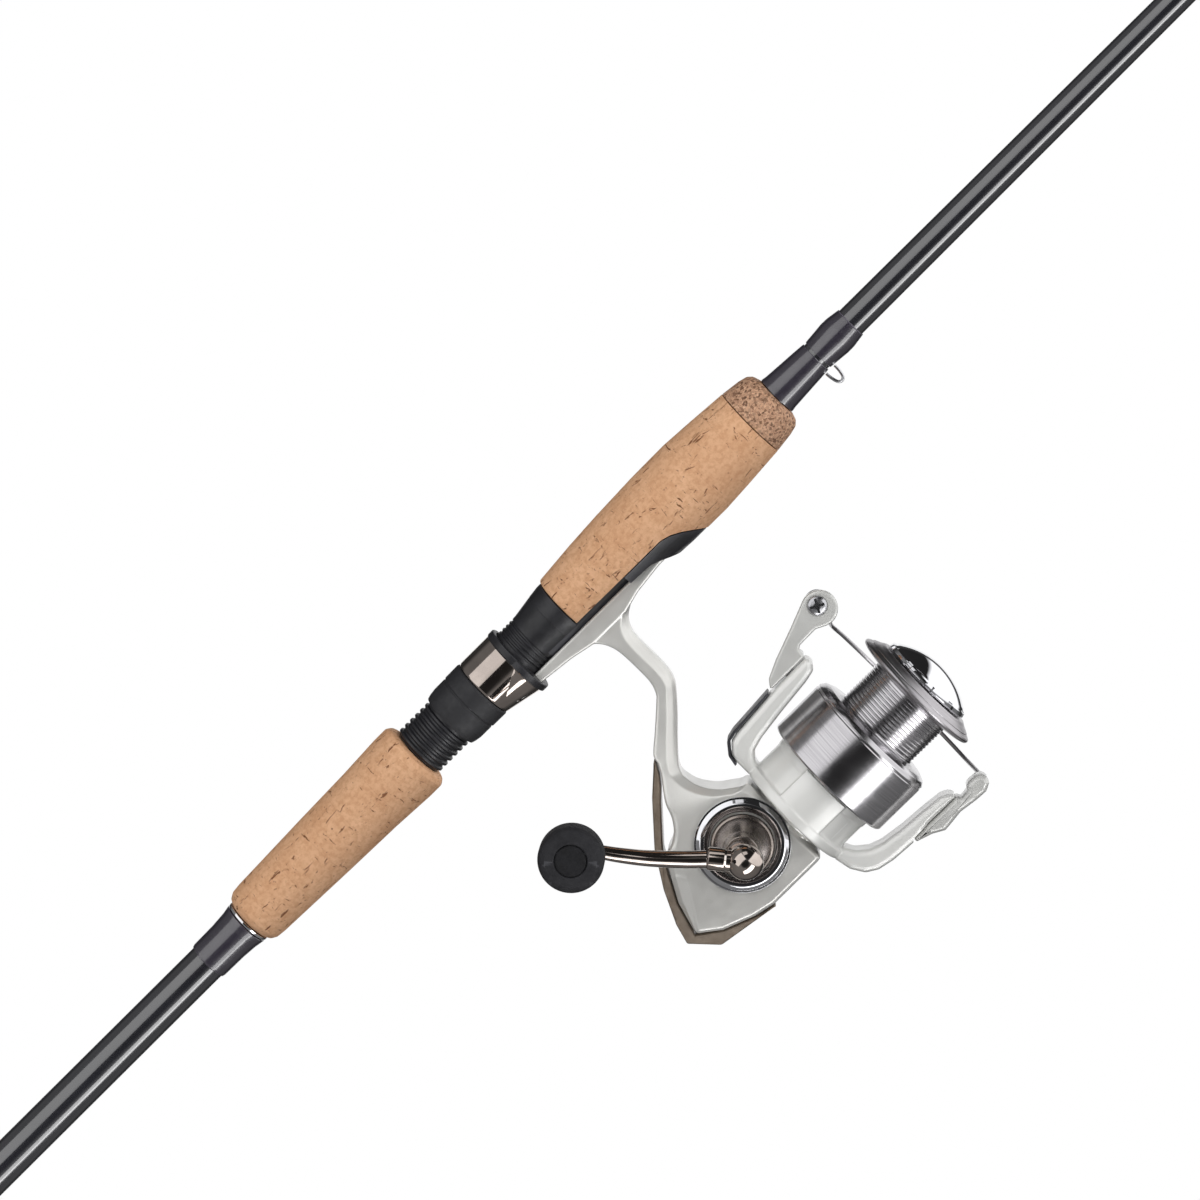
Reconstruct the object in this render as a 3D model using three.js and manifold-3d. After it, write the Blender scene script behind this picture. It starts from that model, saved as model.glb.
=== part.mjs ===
// Two-piece spinning rod with an open-face spinning reel in its seat.
// Millimetres. +X runs along the rod towards the tip, +Z is up, the reel hangs towards -Z
// and its crank is on the -Y side. The origin is on the rod's axis above the reel's stem.
import * as THREE from 'three';
import { mergeVertices } from 'three/addons/utils/BufferGeometryUtils.js';
import Module from 'manifold-3d';

const wasm = await Module();
wasm.setup();

// ---- driving dimensions ----------------------------------------------------------
const GAP = 0.3;              // clearance between neighbouring pieces
const FINE = 24;              // facets round a large turned piece
const MEDIUM = 14;            // facets round a middling turned piece
const COARSE = 10;            // facets round a small turned piece

const ROD_BUTT_X = -352;      // rear face of the butt cap
const ROD_TIP_X = 1628;       // centre of the tip ring
const FERRULE_X = 638;        // where the tip section starts
const FERRULE_DEPTH = 50;     // length of the male part inside the tip section
const BLANK_WALL = 1.2;       // wall of the butt section's tube

const FOOT_HALF_WIDTH = 4.9;  // reel foot, across the rod
const SPOOL_Z = -94.6;        // height of the spool, rotor and main shaft axis
const CRANK_X = -26.7;        // crank axis, which runs along Y
const CRANK_Z = -89.5;
const BODY_FRONT_X = -12.3;   // front face of the gear case
const BODY_NEAR_Y = -11.5;    // crank side of the gear case
const BODY_FAR_Y = 8.5;       // open side of the gear case, closed by the side cover
const SHAFT_R = 1.7;          // main shaft
const CRANK_SHAFT_R = 2.0;

const HANDLE_REACH = 50.3;    // crank axis to knob axis
const HANDLE_ANGLE = 129.2;   // direction of the crank arm at rest, degrees from +X to +Z
const HUB_BALL_Y = -41;       // the hub's ball, which the arm springs from
const HUB_BALL_X = -1.2;      // the ball sits off the axis, away from the arm

const SKIRT_R = 22.4;         // spool skirt
const ARBOR_R = 14.4;         // spool core that the line is wound on
const LIP_R = 22.1;           // spool front flange
const ROTOR_CUP_R = 18.5;
const BAIL_PIVOT_X = 20;      // bail hinge, which runs along Z through both rotor arms
const ROLLER_X = 40.9;        // line roller axis, which runs along Y
const ROLLER_Z = -54;
const WIRE_BULGE_Y = 46;      // how far the bail wire stands out sideways
const WIRE_R = 0.65;

// ---- materials --------------------------------------------------------------------
const finish = (color, roughness, metalness) => ({ color, roughness, metalness });
const CORK = finish(0xd4a57d, 0.85, 0);
const BURL = finish(0x96734f, 0.85, 0);
const GRAPHITE = finish(0x2b2b30, 0.25, 0.1);
const WRAP = finish(0x3c3746, 0.2, 0.1);
const SEAT_BLACK = finish(0x28282d, 0.5, 0);
const RUBBER = finish(0x323237, 0.8, 0);
const CHROME = finish(0xd8d8da, 0.08, 1);
const GUNMETAL = finish(0x6e665f, 0.15, 1);
const STEEL = finish(0xb4b4b6, 0.25, 1);
const BRASS = finish(0xb8924a, 0.3, 1);
const PEARL = finish(0xcfcfcc, 0.35, 0.2);
const WHITE = finish(0xe2e2df, 0.35, 0.1);
const TAUPE = finish(0x786a5c, 0.35, 0.5);
const ALUMINIUM = finish(0x9c9a9c, 0.28, 1);
const CERAMIC = finish(0x3a3f45, 0.1, 0.2);
const FELT = finish(0x8a8578, 0.95, 0);

// ---- geometry helpers ---------------------------------------------------------------
const rad = THREE.MathUtils.degToRad;

function signedVolume(position, index) {
  const a = new THREE.Vector3();
  const b = new THREE.Vector3();
  const c = new THREE.Vector3();
  let total = 0;
  for (let i = 0; i < index.length; i += 3) {
    a.fromBufferAttribute(position, index[i]);
    b.fromBufferAttribute(position, index[i + 1]);
    c.fromBufferAttribute(position, index[i + 2]);
    total += a.dot(b.cross(c));
  }
  return total / 6;
}

// Shared vertices, no collapsed triangles, faces pointing out.
function closedMesh(source) {
  const bare = source.clone();
  bare.deleteAttribute('normal');
  bare.deleteAttribute('uv');
  const merged = mergeVertices(bare, 1e-4);
  const raw = Array.from(merged.index.array);
  const index = [];
  for (let i = 0; i < raw.length; i += 3) {
    const [a, b, c] = raw.slice(i, i + 3);
    if (a !== b && b !== c && a !== c) index.push(a, b, c);
  }
  if (signedVolume(merged.attributes.position, index) < 0) index.reverse();
  merged.setIndex(index);
  return merged;
}

function solid(source) {
  const mesh = closedMesh(source);
  return new wasm.Manifold(new wasm.Mesh({
    numProp: 3,
    vertProperties: new Float32Array(mesh.attributes.position.array),
    triVerts: new Uint32Array(mesh.index.array),
  }));
}

function geometryOf(manifold) {
  const mesh = manifold.getMesh();
  const geometry = new THREE.BufferGeometry();
  geometry.setAttribute('position', new THREE.BufferAttribute(mesh.vertProperties, 3));
  geometry.setIndex(new THREE.BufferAttribute(mesh.triVerts, 1));
  geometry.computeVertexNormals();
  return geometry;
}

const joined = (...pieces) => geometryOf(pieces.map(solid).reduce((sum, p) => sum.add(p)));

function cut(base, ...tools) {
  return geometryOf(tools.map(solid).reduce((rest, tool) => rest.subtract(tool), solid(base)));
}

function common(first, second) {
  return geometryOf(solid(first).intersect(solid(second)));
}

// Profile points are [position along the axis, radius].
function turnedY(profile, facets, x = 0, z = 0) {
  const points = profile.map(([along, r]) => new THREE.Vector2(r, along));
  return new THREE.LatheGeometry(points, facets).translate(x, 0, z);
}

function turnedX(profile, facets, z = 0, y = 0) {
  const points = profile.map(([along, r]) => new THREE.Vector2(r, along));
  return new THREE.LatheGeometry(points, facets).rotateZ(-Math.PI / 2).translate(0, y, z);
}

function turnedZ(profile, facets, x = 0, y = 0) {
  const points = profile.map(([along, r]) => new THREE.Vector2(r, along));
  return new THREE.LatheGeometry(points, facets).rotateX(Math.PI / 2).translate(x, y, 0);
}

const rod = (from, to, r) => [[from, 0], [from, r], [to, r], [to, 0]];
const tube = (from, to, inner, outer) => [
  [from, inner], [from, outer], [to, outer], [to, inner], [from, inner],
];

// Outline in X and Z, carried from one Y to the other, with an optional bevel.
function slab(outline, yLow, yHigh, bevel = 0, steps = 1) {
  const shape = new THREE.Shape(outline.map(([x, z]) => new THREE.Vector2(x, z)));
  const options = {
    depth: yHigh - yLow - 2 * bevel,
    bevelEnabled: bevel > 0,
    bevelThickness: bevel,
    bevelSize: bevel,
    bevelOffset: -bevel,
    bevelSegments: steps,
    curveSegments: 1,
  };
  return new THREE.ExtrudeGeometry(shape, options)
    .rotateX(Math.PI / 2)
    .translate(0, yHigh - bevel, 0);
}

function box(low, high) {
  const size = low.map((value, i) => high[i] - value);
  const centre = low.map((value, i) => (high[i] + value) / 2);
  return new THREE.BoxGeometry(...size).translate(...centre);
}

function sectionShape(r, sides, squash = 1) {
  const points = [];
  for (let i = 0; i < sides; i += 1) {
    const angle = (i + 0.5) * 2 * Math.PI / sides;
    points.push(new THREE.Vector2(r * Math.cos(angle), r * squash * Math.sin(angle)));
  }
  return new THREE.Shape(points);
}

function wire(points, r, steps, sides = 8) {
  const path = new THREE.CatmullRomCurve3(points.map((p) => new THREE.Vector3(...p)));
  const options = { steps, extrudePath: path, bevelEnabled: false };
  return new THREE.ExtrudeGeometry(sectionShape(r, sides), options);
}

function gearShape(teeth, rootR, tipR) {
  const points = [];
  for (let i = 0; i < 2 * teeth; i += 1) {
    const r = i % 2 ? rootR : tipR;
    const angle = i * Math.PI / teeth;
    points.push([r * Math.cos(angle), r * Math.sin(angle)]);
  }
  return points;
}

const group = new THREE.Group();

function add(name, geometry, look) {
  const mesh = new THREE.Mesh(closedMesh(geometry), new THREE.MeshStandardMaterial(look));
  mesh.geometry.computeVertexNormals();
  mesh.name = name;
  group.add(mesh);
}

// ---- rod: blank, grips and seat -------------------------------------------------------
const BLANK_STATIONS = [[-345, 6.4], [-154, 6.2], [78, 5.1], [160, 4.85], [FERRULE_X, 3.3]];

function blankRadius(x) {
  for (let i = 1; i < BLANK_STATIONS.length; i += 1) {
    const [x0, r0] = BLANK_STATIONS[i - 1];
    const [x1, r1] = BLANK_STATIONS[i];
    if (x <= x1) return THREE.MathUtils.mapLinear(x, x0, x1, r0, r1);
  }
  return BLANK_STATIONS.at(-1)[1];
}

function buttBlank() {
  const maleEnd = FERRULE_X + FERRULE_DEPTH - 2;
  const outer = [...BLANK_STATIONS, [FERRULE_X - 3, 3.05], [maleEnd, 2.9]];
  outer.splice(4, 1, [FERRULE_X - 8, 3.3]);
  const inner = [[maleEnd, 1.9], [-345, 6.4 - BLANK_WALL], [-345, 6.4]];
  return turnedX([...outer, ...inner], MEDIUM);
}

function buttGrip() {
  return turnedX([
    [-344.4, 6.8], [-344.4, 11.4], [-342, 11.9], [-320, 11.6], [-298, 10.6],
    [-285, 10.2], [-282.9, 9.4], [-282, 7.4], [-282, 6.8], [-344.4, 6.8],
  ], MEDIUM);
}

function buttCap() {
  const dome = [
    [ROD_BUTT_X, 0], [ROD_BUTT_X, 10.6], [ROD_BUTT_X + 1.4, 11.9], [-345.6, 12.2],
    [-344.7, 12], [-344.7, 6.9], [-345.3, 6.9], [-345.3, 0],
  ];
  return turnedX(dome, MEDIUM);
}

function rearGrip() {
  return turnedX([
    [-153.4, 6.7], [-153.4, 7.6], [-152.6, 8.9], [-151, 9.8], [-148, 10.1], [-120, 11],
    [-100, 11.5], [-86, 12.2], [-81, 12.2], [-79.6, 11.2], [-79.1, 9.4], [-79.1, 6.7],
    [-153.4, 6.7],
  ], FINE);
}

const POCKET_X = 5;           // mouth of the fixed hood's pocket

function reelSeat() {
  const pitch = 2.2;
  const profile = [[-78.8, 6.6], [-78.8, 8.4]];
  for (let ridge = 0; ridge < 6; ridge += 1) {
    const start = -78.4 + ridge * pitch;
    profile.push([start + 0.2, 8.4], [start + pitch / 2, 8.95]);
  }
  profile.push([-64, 8.6], [-29, 8.7], [-20, 9.9], [-16.5, 10.3], [-14.9, 10.3]);
  profile.push([-14.9, 8.7], [36, 8.7], [36, 6.6], [-78.8, 6.6]);
  const barrel = turnedX(profile, MEDIUM);
  const hoodSide = slab([
    [6, -5.9], [21.8, -5.9], [25, -6.9], [28, -8.6], [31, -11], [33.6, -13.3], [33, -13.8],
    [25.5, -13.8], [22.5, -13.1], [20, -11.8], [17, -10.1], [14, -9], [6, -8.6],
  ], -14, 14);
  const hoodRound = turnedX([[4, 0], [4, 13], [20, 13.1], [28, 13.5], [36, 13.5], [36, 0]], FINE);
  const hood = common(hoodSide, hoodRound);
  const bore = turnedX(rod(-90, 40, 6.6), MEDIUM);
  const pocketY = FOOT_HALF_WIDTH + GAP;
  const footPocket = box([POCKET_X, -pocketY, -11.6], [27.4, pocketY, -7.6]);
  const pocket = common(footPocket, turnedPocket(POCKET_X, 27.4));
  const underside = common(box([-34, -15, -15], [POCKET_X, 15, -6]), turnedPocket(-34, POCKET_X));
  return cut(joined(barrel, hood), bore, pocket, underside);
}

// The ring of space outside the barrel that a reel foot lies in.
function turnedPocket(from, to) {
  return turnedX(tube(from, to, 8.7, 20), MEDIUM);
}

function foregrip() {
  const profile = [
    [-14.5, 9], [-14.5, 10.8], [-14, 11.1], [0, 12.3], [12, 13], [28, 13.6], [42, 13.7],
    [52, 13.1], [65.7, 12.1], [65.7, 5.6], [36.4, 5.6], [36.4, 9], [-14.5, 9],
  ];
  const window = slab([
    [-16, -5.6], [22, -5.6], [25.2, -6.6], [28.2, -8.3], [31.2, -10.7], [34.2, -13.5],
    [34.8, -17], [-16, -17],
  ], -16, 16);
  return cut(turnedX(profile, FINE), window);
}

function burlRing() {
  return turnedX([
    [66, 5.6], [66, 12.05], [72, 11.3], [74.8, 10.6], [76.2, 9.3], [76.9, 7.2], [76.9, 5.6],
    [66, 5.6],
  ], FINE);
}

// ---- rod: sliding hood and lock nut ---------------------------------------------------
const HOOD_AXIS_Z = -4.2;     // centre of the bulge that covers the foot

function seatHood() {
  const band = turnedX([
    [-50.2, 0], [-50.2, 10.1], [-49.6, 10.3], [-37.8, 10.3], [-37.4, 10.6], [-35.4, 10.6],
    [-35.4, 0],
  ], FINE);
  const bulge = turnedX([
    [-50.2, 0], [-50.2, 6.2], [-38, 8.7], [-37.8, 9.5], [-35.4, 9.5], [-35.4, 0],
  ], FINE).scale(1, 1.2, 1).translate(0, 0, HOOD_AXIS_Z);
  const bore = turnedX(rod(-60, -30, 9.1), MEDIUM);
  const footPocket = slab([
    [-45.2, -8], [-45.2, -10.4], [-38, -11.4], [-30, -11.6], [-30, -8],
  ], -FOOT_HALF_WIDTH - GAP, FOOT_HALF_WIDTH + GAP);
  return cut(joined(band, bulge), bore, footPocket);
}

function lockNut() {
  return turnedX([
    [-64.8, 9.3], [-64.8, 9.7], [-61.5, 10.3], [-57, 10.3], [-56.4, 10.5], [-51, 10.5],
    [-50.5, 10.2], [-50.5, 9.3], [-64.8, 9.3],
  ], FINE);
}

// ---- rod: wraps, checks and hook keeper ------------------------------------------------
const REAR_WRAP_BORE = 6.52;  // each wrap's bore clears the tapering blank
const FORE_WRAP_BORE = 5.42;
const KEEPER_WRAP_BORE = 5.36;

const collar = (points, inner, facets) => {
  const [first] = points[0];
  const [last] = points.at(-1);
  return turnedX([[first, inner], ...points, [last, inner], [first, inner]], facets);
};

function hookKeeper() {
  return wire([
    [92.7, 0, -6], [92.9, 0, -8], [93.5, 0, -10], [94.6, 0, -10.7], [95.7, 0, -10],
    [96.2, 0, -8], [96.3, 0, -6],
  ], 0.5, 10, 6);
}

function addRod() {
  add('butt_cap', buttCap(), RUBBER);
  add('butt_grip', buttGrip(), CORK);
  add('butt_blank', buttBlank(), GRAPHITE);
  const rearWrap = [[-172, 6.75], [-163, 6.9], [-158, 7.3], [-155, 7.8]];
  add('rear_trim_wrap', collar(rearWrap, REAR_WRAP_BORE, MEDIUM), WRAP);
  add('rear_winding_check', collar([[-154.7, 7.8], [-153.7, 7.9]], REAR_WRAP_BORE, MEDIUM), CHROME);
  add('rear_grip', rearGrip(), CORK);
  add('reel_seat', reelSeat(), SEAT_BLACK);
  add('seat_hood', seatHood(), GUNMETAL);
  add('lock_nut', lockNut(), SEAT_BLACK);
  add('foregrip', foregrip(), CORK);
  add('foregrip_burl_ring', burlRing(), BURL);
  const foreWrap = [[77.2, 6.6], [79, 6.4], [91.8, 5.7]];
  add('fore_trim_wrap', collar(foreWrap, FORE_WRAP_BORE, MEDIUM), WRAP);
  add('hook_keeper', hookKeeper(), STEEL);
  const keeperWrap = [[97.2, 5.6], [99, 5.8], [106, 5.8], [108, 5.6]];
  add('keeper_wrap', collar(keeperWrap, KEEPER_WRAP_BORE, MEDIUM), WRAP);
}

// ---- rod: tip section and guides --------------------------------------------------------
const TIP_STATIONS = [[FERRULE_X, 4.2], [692, 4.1], [702, 3.5], [1250, 1.9], [1604, 1.05]];

function tipRadius(x) {
  for (let i = 1; i < TIP_STATIONS.length; i += 1) {
    const [x0, r0] = TIP_STATIONS[i - 1];
    const [x1, r1] = TIP_STATIONS[i];
    if (x <= x1) return THREE.MathUtils.mapLinear(x, x0, x1, r0, r1);
  }
  return TIP_STATIONS.at(-1)[1];
}

function tipBlank() {
  const end = ROD_TIP_X - 9;
  const bore = [[1500, 0], [1500, 0.5], [1250, 1.1], [702, 2.6], [690, 3.35], [FERRULE_X, 3.4]];
  const profile = [...bore, ...TIP_STATIONS, [end, 0.95], [end, 0]];
  return turnedX(profile, COARSE);
}

// Guide number, distance along the rod, outer radius of its ring, height of the ring's centre.
const GUIDES = [
  [1, 560, 12, 26], [2, 872, 8, 18], [3, 1112, 5.6, 12.5], [4, 1312, 4.2, 9.2],
  [5, 1486, 3.6, 7.6],
];

const HOOP_WALL = 1.1;        // from a ring's rim to the outside of the hoop that holds it

function guideFrame(x, blankR, ringR, height) {
  const hoop = tube(x - 0.5, x + 0.5, ringR + GAP, ringR + HOOP_WALL);
  const holder = turnedX(hoop, COARSE, -height);
  const footTop = -(blankR + GAP);
  const foot = box([x + 4, -1, footTop - 0.8], [x + 8 + ringR, 1, footTop]);
  const rearFoot = box([x - 10 - height, -1, footTop - 0.8], [x - height * 0.85, 1, footTop]);
  const pieces = [holder, foot, rearFoot];
  for (const side of [-1, 1]) {
    const y = side * ringR * 0.72;
    const z = -height + ringR * 0.78;
    pieces.push(strut([x + 5, side * 0.5, footTop - 0.4], [x, y, z]));
    const low = z - ringR * 0.3;
    pieces.push(strut([x - height * 0.95, side * 0.5, footTop - 0.4], [x, y * 1.25, low]));
  }
  return cut(joined(...pieces), turnedX(rod(x - 3, x + 3, ringR + GAP), COARSE, -height));
}

function strut(from, to) {
  return wire([from, to], 0.6, 1, 4);
}

function guideRing(x, ringR, height) {
  const bore = ringR * 0.78 - 0.2;
  return turnedX([
    [x - 0.9, bore + 0.4], [x - 0.9, ringR - 0.2], [x, ringR], [x + 0.9, ringR - 0.2],
    [x + 0.9, bore + 0.4], [x, bore], [x - 0.9, bore + 0.4],
  ], COARSE, -height);
}

const TIP_RING_R = 3;
const TIP_RING_Z = -5.2;

function tipTopFrame() {
  const from = ROD_TIP_X - 22;
  const to = ROD_TIP_X - 8;
  const sleeve = turnedX([
    [from, 1.25], [from, 1.8], [to, 1.8], [to, 0], [to - 0.7, 0], [to - 0.7, 1.25], [from, 1.25],
  ], COARSE);
  const hoop = tube(ROD_TIP_X - 0.5, ROD_TIP_X + 0.5, TIP_RING_R + GAP, TIP_RING_R + HOOP_WALL);
  const holder = turnedX(hoop, COARSE, TIP_RING_Z);
  const pieces = [sleeve, holder];
  for (const side of [-1, 1]) {
    pieces.push(strut([to - 1, side * 1.2, -0.3], [ROD_TIP_X, side * 2.4, TIP_RING_Z + 2.9]));
    pieces.push(strut([from + 2, side * 0.8, -1.5], [ROD_TIP_X, side * 3.2, TIP_RING_Z - 1.4]));
  }
  const clearance = turnedX(
    rod(ROD_TIP_X - 3, ROD_TIP_X + 3, TIP_RING_R + GAP), COARSE, TIP_RING_Z);
  return cut(joined(...pieces), clearance);
}

function addTipSection() {
  add('tip_blank', tipBlank(), GRAPHITE);
  for (const [number, x, ringR, height] of GUIDES) {
    const blankR = x < FERRULE_X ? blankRadius(x - 20) : tipRadius(x - 20);
    add(`guide_${number}_frame`, guideFrame(x, blankR, ringR, height), GUNMETAL);
    add(`guide_${number}_ring`, guideRing(x, ringR, height), CERAMIC);
  }
  add('tip_top_frame', tipTopFrame(), GUNMETAL);
  add('tip_top_ring', guideRing(ROD_TIP_X, TIP_RING_R, -TIP_RING_Z), CERAMIC);
}

// ---- reel: foot, stem and gear case -------------------------------------------------------
const NECK_R = 12.6;          // front neck of the gear case, inside the rotor
const NECK_END_X = -1.8;
const CLUTCH_R = 9.8;
const PINION_BEARING_R = 6.2;

const CASE_OUTLINE = [
  [BODY_FRONT_X, -78], [-17, -75], [-21.5, -71.5], [-24.2, -67], [-25, -62], [-29.6, -58.2],
  [-34.8, -62.9], [-35.8, -67], [-38, -71.2], [-41, -74], [-46, -75.2], [-49.6, -81],
  [-54, -89], [-57, -99.4], [-50, -104.6], [-40, -108.4], [-33, -109.9], [BODY_FRONT_X, -109.9],
];
const CHAMBER_OUTLINE = [
  [-15.2, -79.6], [-19.5, -77], [-27, -76.4], [-44, -78], [-47.6, -82.6], [-52, -91],
  [-54, -98.6], [-48.6, -102.4], [-39, -106], [-33, -107.2], [-15.2, -107.2],
];
const STEM_OUTLINE = [
  [-24, -11.6], [-18, -13], [-14.9, -15.4], [-12.9, -19], [-12.1, -24], [-12.1, -34],
  [-13.4, -38.4], [-18, -43], [-27.2, -51.2], [-27.9, -53.8], [-29.7, -57.3], [-32.3, -60.5],
  [-34.2, -64], [-30, -72], [-18, -75.4],
  [-22.2, -70.6], [-24.7, -66], [-25.1, -62], [-23.6, -58.4], [-20, -54.4], [-14, -48.4],
  [-9, -43], [-6, -38.4], [-5.3, -34], [-5.3, -23], [-4.4, -18.4], [-2.4, -15.4], [1.4, -13.2],
  [6, -11.6],
];
const FOOT_OUTLINE = [
  [-44.8, -8], [-44.8, -10], [-37.6, -11.1], [-24, -12.6], [-16, -14.2], [-2, -14.2], [5, -12.4],
  [15, -11.2], [26.6, -10.9], [26.6, -8],
];

function reelBody() {
  const gearCase = slab(CASE_OUTLINE, BODY_NEAR_Y, BODY_FAR_Y, 1.2);
  const foot = slab(FOOT_OUTLINE, -FOOT_HALF_WIDTH, FOOT_HALF_WIDTH);
  const stem = slab(STEM_OUTLINE, -4.4, 4.4, 1);
  const neck = turnedX([
    [-14, 0], [-14, 8.3], [BODY_FRONT_X + GAP, 8.3], [BODY_FRONT_X + GAP, NECK_R],
    [NECK_END_X, NECK_R], [NECK_END_X, 0],
  ], FINE, SPOOL_Z);
  const whole = joined(gearCase, foot, stem, neck);
  const saddle = turnedX(rod(-60, 60, 9.1), MEDIUM);
  const chamber = slab(CHAMBER_OUTLINE, BODY_NEAR_Y + 2.2, BODY_FAR_Y + 5);
  const pinionBore = turnedX([
    [-20, 0], [-20, 4.4], [-12, 4.4], [-12, PINION_BEARING_R + GAP], [-8, PINION_BEARING_R + GAP],
    [-8, CLUTCH_R + GAP], [0, CLUTCH_R + GAP], [0, 0],
  ], MEDIUM, SPOOL_Z);
  const crankBore = turnedY(rod(-20, -5, 5.3), MEDIUM, CRANK_X, CRANK_Z);
  return cut(whole, saddle, chamber, pinionBore, crankBore);
}

function sideCover() {
  const plate = slab(CASE_OUTLINE, BODY_FAR_Y + GAP, 12.2, 1.2);
  const boss = turnedY([[9, 0], [9, 8.4], [13.2, 8], [13.2, 0]], FINE, CRANK_X, CRANK_Z);
  const seat = turnedY(rod(8, 11.5, 5.3), MEDIUM, CRANK_X, CRANK_Z);
  return cut(joined(plate, boss), seat);
}

function rearCover() {
  return slab([
    [-28, -52.2], [-36.8, -60.2], [-47.6, -72], [-54.6, -83], [-59.6, -93.5], [-61.4, -100],
    [-54, -107.8], [-33.6, -110.9], [-33.2, -110.4], [-40.1, -108.8], [-50.1, -105],
    [-57.5, -99.8], [-54.4, -88.9], [-50, -80.8], [-46.3, -74.6], [-35.5, -62.9],
    [-32.8, -60.2], [-30.3, -57.1], [-28.5, -53.8],
  ], -8, 8, 0);
}

function sideRing() {
  return turnedY([
    [-11.8, 10.3], [-11.8, 14.2], [-13, 14.4], [-13.5, 14], [-13.4, 13.3], [-12.6, 12.6],
    [-12.3, 10.3], [-11.8, 10.3],
  ], FINE, CRANK_X, CRANK_Z);
}

function sideCap() {
  const profile = [[13.5, 0], [13.5, 7.2], [14.6, 7.2], [15.8, 6.2], [16.2, 4], [16.2, 0]];
  return turnedY(profile, MEDIUM, CRANK_X, CRANK_Z);
}

const bearingX = (from, to, inner, outer) => (
  turnedX(tube(from, to, inner, outer), MEDIUM, SPOOL_Z));
const bearingY = (from, to, inner, outer) => (
  turnedY(tube(from, to, inner, outer), MEDIUM, CRANK_X, CRANK_Z));

function addReelBody() {
  add('reel_body', reelBody(), PEARL);
  add('side_cover', sideCover(), PEARL);
  add('rear_cover', rearCover(), TAUPE);
  add('side_ring', sideRing(), CHROME);
  add('side_cap', sideCap(), CHROME);
  add('crank_bearing', bearingY(-12.3, -9.4, CRANK_SHAFT_R + GAP, 5), STEEL);
  add('far_bearing', bearingY(8.8, 11.2, CRANK_SHAFT_R + GAP, 5), STEEL);
  add('pinion_bearing', bearingX(-11.7, -8.3, 3.3, PINION_BEARING_R), STEEL);
  add('one_way_clutch', bearingX(-7.7, -2.2, 3.3, CLUTCH_R), STEEL);
}

// ---- reel: crank and gears -------------------------------------------------------------------
const DRIVE_TEETH = 48;
const PINION_TEETH = 9;
const DRIVE_R = 10.8;
const OSCILLATION_X = -36.4;
const OSCILLATION_Z = -98;
const OSCILLATION_R = 7.6;

function driveGear() {
  const wheel = slab(gearShape(DRIVE_TEETH, DRIVE_R - 0.9, DRIVE_R), 3.9, 6.4);
  const spur = slab(gearShape(14, 3.9, 4.9), -6.6, -3.6);
  wheel.translate(CRANK_X, 0, CRANK_Z);
  spur.translate(CRANK_X, 0, CRANK_Z);
  const shaft = turnedY(rod(-29.8, 11, CRANK_SHAFT_R), COARSE, CRANK_X, CRANK_Z);
  return joined(wheel, spur, shaft);
}

function pinionGear() {
  const teeth = new THREE.ExtrudeGeometry(
    new THREE.Shape(gearShape(PINION_TEETH, 2.9, 3.5).map((p) => new THREE.Vector2(...p))),
    { depth: 7, bevelEnabled: false },
  ).rotateY(Math.PI / 2).translate(-22.4, 0, SPOOL_Z);
  const sleeve = turnedX(rod(-16, 7.4, 3), MEDIUM, SPOOL_Z);
  const bore = turnedX(rod(-30, 20, SHAFT_R + GAP), COARSE, SPOOL_Z);
  return cut(joined(teeth, sleeve), bore);
}

function oscillationGear() {
  const wheel = slab(gearShape(22, OSCILLATION_R - 0.9, OSCILLATION_R), -6.6, -3.6);
  const pin = turnedY(rod(-4, -2.9, 1.2), COARSE, 0, 5);
  return joined(wheel, pin).translate(OSCILLATION_X, 0, OSCILLATION_Z);
}

function handleCollar() {
  return turnedY([
    [-12.9, 2.3], [-12.9, 9.6], [-15.3, 9.4], [-15.3, 8.4], [-18.8, 7.4], [-18.8, 6.5],
    [-26, 5], [-26, 2.3], [-12.9, 2.3],
  ], FINE, CRANK_X, CRANK_Z);
}

// Turns a piece drawn with the arm along +X about the crank axis to the arm's rest direction.
function alongArm(geometry) {
  return geometry.rotateY(-rad(HANDLE_ANGLE)).translate(CRANK_X, 0, CRANK_Z);
}

function handleHub() {
  const neck = turnedY([
    [-30.2, 0], [-30.2, 2.3], [-26.3, 2.3], [-26.3, 4.3], [-29, 4.4], [-32, 4.8], [-37, 5.2],
    [-37, 0],
  ], FINE);
  const ball = turnedY([
    [-35.6, 0], [-36.2, 3.2], [-38, 4.8], [-41, 5.6], [-43.5, 5], [-45.2, 3.7], [-46.3, 1.9],
    [-46.6, 0],
  ], FINE, HUB_BALL_X);
  const stub = turnedX(rod(0, 10.4, 3.4), COARSE, 0, HUB_BALL_Y);
  const socket = turnedY(rod(-30.2, -20, 2.3), COARSE);
  return alongArm(cut(joined(neck, ball, stub), socket));
}

function handleArm() {
  const bar = wire([
    [10.7, HUB_BALL_Y, 0], [18, -41.7, 0], [28, -43.3, 0], [37, -45.1, 0], [44, -46.2, 0],
    [HANDLE_REACH - 1, -46.6, 0],
  ], 2.3, 10);
  const eye = turnedY(rod(-48.9, -44.4, 3.3), COARSE, HANDLE_REACH);
  const pin = turnedY(rod(-66, -46, 1.6), COARSE, HANDLE_REACH);
  return alongArm(joined(bar, eye, pin));
}

function handleKnob() {
  return alongArm(turnedY([
    [-66.4, 0], [-66.4, 1.95], [-49.2, 1.95], [-49.2, 3.6], [-53, 4.2], [-55.5, 7.4],
    [-57.5, 9.4], [-60, 9.9], [-67.6, 9.9], [-69.4, 9.3], [-70, 8], [-70, 4.9], [-69, 4.9],
    [-69, 0],
  ], FINE, HANDLE_REACH));
}

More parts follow.
